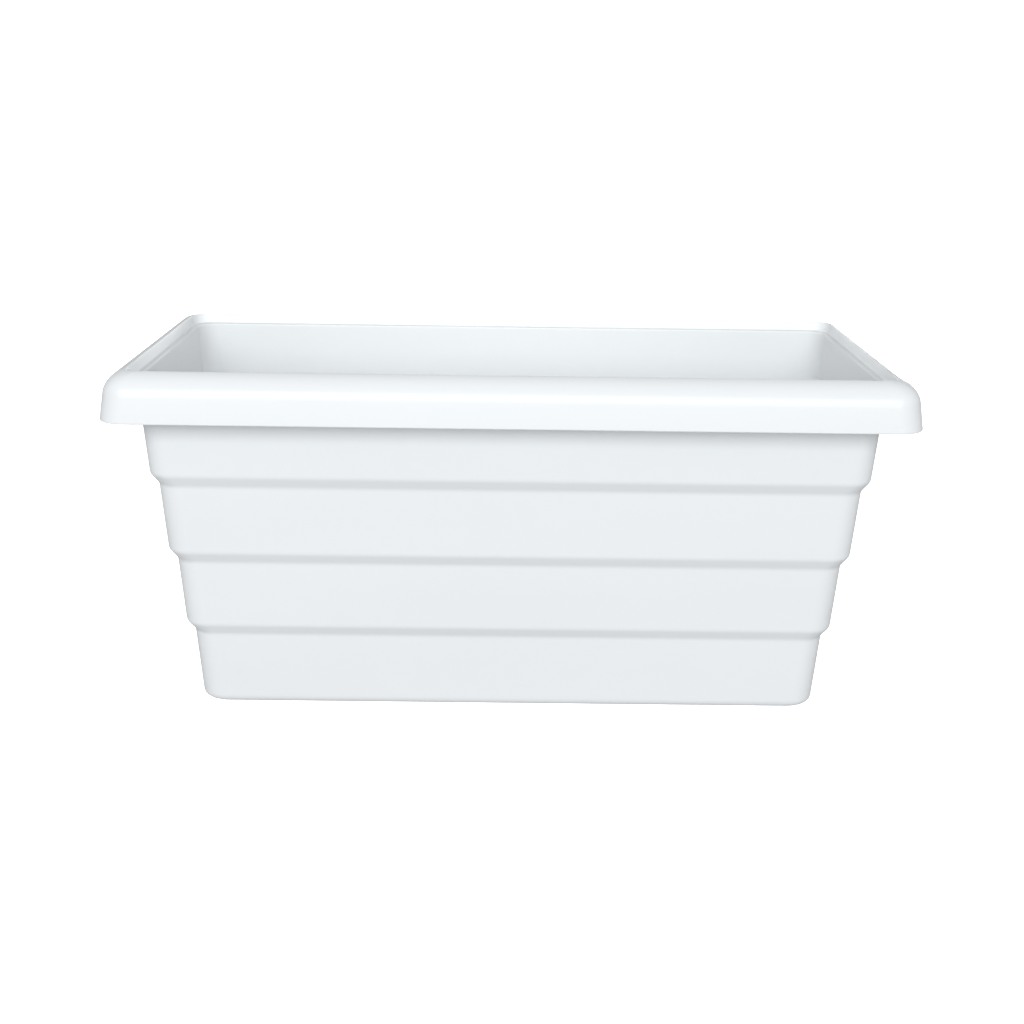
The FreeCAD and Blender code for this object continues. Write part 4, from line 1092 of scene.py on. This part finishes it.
class PLANTER_OT_lid(bpy.types.Operator):
    """Make the filler's hinged lid and the pin it turns on"""
    bl_idname = "planter.lid"
    bl_label = "Lid"
    bl_options = {"REGISTER", "UNDO"}

    THICKNESS, OVERHANG = 2.5 * MM, 0.5 * MM
    GROOVE_OUTER, GROOVE_INNER, GROOVE_DEPTH = 3.5 * MM, 6.7 * MM, 0.7 * MM
    TAB_HALF, TAB_CORNER, TAB_OVERLAP, STRAP_OVERLAP = 5.5 * MM, 2 * MM, 2 * MM, 3 * MM
    STRAP_GAP, BARREL, BORE_CLEARANCE = 1.9 * MM, 2.4 * MM, 0.06 * MM

    def execute(self, context):
        pin, pin_low, pin_high = middle("lid_pin")
        radius = (pin_high.z - pin_low.z) / 2
        reach = pin_high.x - pin_low.x
        outline = [(0, 0, 0), (radius, 0, ROUND), (radius, reach, ROUND), (0, reach, 0)]
        rod = turned_piece("lid_pin_visual", "steel", outline, Vector((pin_low.x, pin.y, pin.z)), "X", 48)
        finish_piece(settle(rod), "insert", "pin_steel", "lid_pin")

        tube = middle("fill_tube")[0]
        disc = tube.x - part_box("fill_funnel")[0].x + self.OVERHANG
        thickness = self.THICKNESS
        groove = thickness - self.GROOVE_DEPTH
        under = pin.z - thickness / 2
        outline = [(0, 0, 0), (disc, 0, SOFT), (disc, thickness, 1.0 * MM),
                   (disc - self.GROOVE_OUTER, thickness, ROUND),
                   (disc - self.GROOVE_OUTER - self.GROOVE_DEPTH, groove, ROUND),
                   (disc - self.GROOVE_INNER + self.GROOVE_DEPTH, groove, ROUND),
                   (disc - self.GROOVE_INNER, thickness, ROUND),
                   (0, thickness, 0)]
        meshes = [turned(outline, Vector((tube.x, tube.y, under)), "Z", 96)]
        half = self.TAB_HALF
        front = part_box("fill_lid")[0].y
        root = tube.y - disc + self.TAB_OVERLAP
        tab = [(-half + pin.x, root), (half + pin.x, root), (half + pin.x, front + self.TAB_CORNER),
               (half - self.TAB_CORNER + pin.x, front), (-half + self.TAB_CORNER + pin.x, front),
               (-half + pin.x, front + self.TAB_CORNER)]
        meshes.append(prism(tab, "Z", under, under + thickness, ROUND))
        strap_start = tube.y + disc - self.STRAP_OVERLAP
        strap_end = pin.y - self.STRAP_GAP
        strap = [(-half + pin.x, strap_start), (half + pin.x, strap_start),
                 (half + pin.x, strap_end), (-half + pin.x, strap_end)]
        meshes.append(prism(strap, "Z", under, under + thickness, FINE))
        bore = radius + self.BORE_CLEARANCE
        barrel = sleeve(bore, self.BARREL, 2 * half, CRISP, FINE)
        meshes.append(turned(barrel, Vector((pin.x - half, pin.y, pin.z)), "X", 48))
        lid = make_piece("fill_lid_visual", meshes, "lid")
        finish_piece(settle(lid), "lid", "lid_grey", "fill_lid")
        return {"FINISHED"}


class PLANTER_OT_gauge(bpy.types.Operator):
    """Make the float's cage, the clear tube and its cap"""
    bl_idname = "planter.gauge"
    bl_label = "Level gauge"
    bl_options = {"REGISTER", "UNDO"}

    TUBE_WALL, CAGE_BORE, CAGE_EDGE = 1.6 * MM, 8 * MM, 1.2 * MM
    SLOT_WIDTH, SLOT_HEIGHT, SLOT_DEPTH, SLOT_DROP = 4 * MM, 34 * MM, 10 * MM, 4 * MM
    CAP_GRIP, CAP_DOME, CAP_INNER_DOME = 8 * MM, 4.5 * MM, 2 * MM

    def execute(self, context):
        wall = MOULDED_WALL
        place, radius, height = upright("float_cage")
        outline = [(self.CAGE_BORE, 0, SOFT), (radius, 0, self.CAGE_EDGE), (radius, height, FINE),
                   (radius - wall, height, FINE), (radius - wall, wall, FULL), (self.CAGE_BORE, wall, SOFT)]
        cage = turned_piece("float_cage_visual", "insert", outline, place, "Z", 96)
        slots = context.scene.planter_detail.cage_slots
        run_tree(cage, ring_of_slots_tree, count=slots, ring_radius=radius,
                 centre=place + Vector((0, 0, height / 2 - self.SLOT_DROP)), slot_width=self.SLOT_WIDTH,
                 slot_height=self.SLOT_HEIGHT, depth=self.SLOT_DEPTH, tilt=math.pi / 2)
        finish_piece(cage, "insert", "insert_grey", "float_cage")

        wall = self.TUBE_WALL
        place, radius, height = upright("gauge_tube")
        outline = sleeve(radius - wall, radius, height, SHARP, FINE)
        tube = turned_piece("gauge_tube_visual", "clear", outline, place)
        finish_piece(settle(tube), "insert", "gauge_clear", "gauge_tube")

        place, outer, rise = upright("gauge_cap")
        bore = radius - wall
        outline = [(0, rise, 0), (outer - SHARP, rise, self.CAP_DOME), (outer, 0, SOFT),
                   (outer - wall, 0, FINE),
                   (outer - wall, self.CAP_GRIP, CRISP), (bore, self.CAP_GRIP, FINE),
                   (bore, rise - wall, self.CAP_INNER_DOME), (0, rise - wall, 0)]
        piece = turned_piece("gauge_cap_visual", "clear", outline, place)
        finish_piece(settle(piece), "insert", "gauge_clear", "gauge_cap")
        return {"FINISHED"}


class PLANTER_OT_float(bpy.types.Operator):
    """Make the float, its rod and the indicator on top"""
    bl_idname = "planter.float"
    bl_label = "Float"
    bl_options = {"REGISTER", "UNDO"}

    ROUNDING, ROD_CLEARANCE = 3 * MM, 0.06 * MM
    SEAM_HALF, SEAM_DEPTH, TIP_EDGE = 0.6 * MM, 0.4 * MM, 0.6 * MM

    def execute(self, context):
        place, pin, reach = upright("float_rod")
        outline = [(0, 0, 0), (pin, 0, FINE), (pin, reach, FINE), (0, reach, 0)]
        stem = turned_piece("float_rod_visual", "float", outline, place, "Z", 32)
        finish_piece(settle(stem), "float", "float_white", "float_rod")

        place, radius, height = upright("gauge_float")
        bore = pin + self.ROD_CLEARANCE
        seam = height / 2
        outline = [(bore, 0, FINE), (radius, 0, self.ROUNDING), (radius, seam - self.SEAM_HALF, SHARP),
                   (radius - self.SEAM_DEPTH, seam, SHARP), (radius, seam + self.SEAM_HALF, SHARP),
                   (radius, height, self.ROUNDING), (bore, height, FINE)]
        piece = turned_piece("gauge_float_visual", "float", outline, place)
        finish_piece(settle(piece), "float", "float_white", "gauge_float")

        place, radius, height = upright("float_tip")
        outline = [(0, height, 0), (radius, height, self.ROUNDING), (radius, 0, self.TIP_EDGE),
                   (bore, 0, SHARP), (bore, height / 2, SHARP), (0, height / 2, 0)]
        piece = turned_piece("float_tip_visual", "tip", outline, place, "Z", 48)
        finish_piece(settle(piece), "float", "signal_red", "float_tip")
        return {"FINISHED"}


# ---------------------------------------------------------------------------------------------
# Stage
# ---------------------------------------------------------------------------------------------

class PLANTER_OT_stage(bpy.types.Operator):
    """Make the pale floor, the soft studio lights and the camera"""
    bl_idname = "planter.stage"
    bl_label = "Stage"
    bl_options = {"REGISTER", "UNDO"}

    FLOOR_HALF = 30
    BACKDROP, AMBIENT = 1.2, 0.45
    AMBIENT_COLOUR, LAMP_COLOUR = (0.98, 0.99, 1.0, 1), (0.96, 0.99, 1.0)
    # Name, place, the point it faces, width and height, power in watts
    LAMPS = (
        ("key_softbox", (-0.15, -2.6, 1.3), (0, 0, 0.15), (3.2, 1.5), 62),
        ("rim_strip", (0, -2.6, 0.36), (0, 0, 0.2), (1.3, 0.10), 0.3),
        ("back_softbox", (0.3, 2.6, 0.2), (0, 0, 0.12), (2.4, 0.6), 22),
        ("inside_fill", (-0.01, -0.055, 0.262), (-0.01, 0.12, 0.19), (0.36, 0.02), 0.068),
    )
    CAMERA_PLACE = (-0.0055, -0.8699, 0.4098)
    LENS, SENSOR = 46.11, 36.0
    PITCH, YAW, ROLL = math.radians(18.71), math.radians(0.46), math.radians(-0.85)

    def execute(self, context):
        context.scene.view_settings.view_transform = "Standard"
        self.floor()
        self.world(context)
        self.lights(context)
        self.camera(context)
        return {"FINISHED"}

    def floor(self):
        mesh = bmesh.new()
        bmesh.ops.create_grid(mesh, x_segments=1, y_segments=1, size=self.FLOOR_HALF)
        floor = make_piece("studio_floor", [mesh], "insert")
        floor.data.materials.clear()
        floor.data.materials.append(floor_card(self.BACKDROP))
        floor.location.z = SHELL_LOW.z
        floor.visible_diffuse = False
        floor.visible_glossy = False

    def world(self, context):
        world = bpy.data.worlds.new("studio_world")
        context.scene.world = world
        world.use_nodes = True
        nodes = world.node_tree.nodes
        links = world.node_tree.links
        lit = nodes["Background"]
        lit.inputs["Color"].default_value = self.AMBIENT_COLOUR
        lit.inputs["Strength"].default_value = self.AMBIENT * context.scene.planter_finish.light
        seen = nodes.new("ShaderNodeBackground")
        seen.inputs["Color"].default_value = (1, 1, 1, 1)
        seen.inputs["Strength"].default_value = self.BACKDROP
        ray = nodes.new("ShaderNodeLightPath")
        mix = nodes.new("ShaderNodeMixShader")
        links.new(ray.outputs["Is Camera Ray"], mix.inputs[0])
        links.new(lit.outputs[0], mix.inputs[1])
        links.new(seen.outputs[0], mix.inputs[2])
        links.new(mix.outputs[0], nodes["World Output"].inputs["Surface"])

    def lights(self, context):
        strength = context.scene.planter_finish.light
        for name, place, aim, size, power in self.LAMPS:
            data = bpy.data.lights.new(name, "AREA")
            data.color = self.LAMP_COLOUR
            data.shape = "RECTANGLE"
            data.size, data.size_y = size
            data.energy = power * strength
            lamp = bpy.data.objects.new(name, data)
            lamp.location = place
            lamp.visible_camera = False
            lamp.rotation_euler = (Vector(aim) - Vector(place)).to_track_quat("-Z", "Y").to_euler()
            context.scene.collection.objects.link(lamp)

    def camera(self, context):
        forward = Vector((math.sin(self.YAW) * math.cos(self.PITCH),
                          math.cos(self.YAW) * math.cos(self.PITCH), -math.sin(self.PITCH)))
        level = Vector((math.cos(self.YAW), -math.sin(self.YAW), 0))
        down = forward.cross(level)
        right = math.cos(self.ROLL) * level + math.sin(self.ROLL) * down
        under = math.cos(self.ROLL) * down - math.sin(self.ROLL) * level
        data = bpy.data.cameras.new("studio_camera")
        data.sensor_width = self.SENSOR
        data.lens = self.LENS
        camera = bpy.data.objects.new("studio_camera", data)
        turn = Matrix((right, -under, -forward)).transposed().to_4x4()
        camera.matrix_world = Matrix.Translation(self.CAMERA_PLACE) @ turn
        context.scene.collection.objects.link(camera)
        context.scene.camera = camera


# ---------------------------------------------------------------------------------------------
# Panel and registration
# ---------------------------------------------------------------------------------------------

OPERATORS = (
    PLANTER_OT_stage,
    PLANTER_OT_trough,
    PLANTER_OT_overflow,
    PLANTER_OT_drain,
    PLANTER_OT_platform,
    PLANTER_OT_posts,
    PLANTER_OT_cups,
    PLANTER_OT_filler,
    PLANTER_OT_lid,
    PLANTER_OT_gauge,
    PLANTER_OT_float,
)


class PLANTER_PT_panel(bpy.types.Panel):
    """Lists the planter's settings and the operators that make its pieces"""
    bl_label = "Planter"
    bl_idname = "PLANTER_PT_panel"
    bl_space_type = "VIEW_3D"
    bl_region_type = "UI"
    bl_category = "Planter"

    def draw(self, context):
        layout = self.layout
        scene = context.scene
        for group in (scene.planter_shell, scene.planter_finish, scene.planter_detail):
            box = layout.box()
            for name in group.__annotations__:
                box.prop(group, name)
        for operator in OPERATORS:
            layout.operator(operator.bl_idname)


SETTINGS = {
    "planter_shell": PlanterShellSettings,
    "planter_finish": PlanterFinishSettings,
    "planter_detail": PlanterDetailSettings,
}


def register():
    for name, group in SETTINGS.items():
        bpy.utils.register_class(group)
        setattr(bpy.types.Scene, name, bpy.props.PointerProperty(type=group))
    for operator in OPERATORS:
        bpy.utils.register_class(operator)
    bpy.utils.register_class(PLANTER_PT_panel)


def unregister():
    bpy.utils.unregister_class(PLANTER_PT_panel)
    for operator in reversed(OPERATORS):
        bpy.utils.unregister_class(operator)
    for name, group in SETTINGS.items():
        delattr(bpy.types.Scene, name)
        bpy.utils.unregister_class(group)


def main():
    register()
    for operator in OPERATORS:
        family, action = operator.bl_idname.split(".")
        getattr(getattr(bpy.ops, family), action)()


if __name__ == "__main__":
    main()
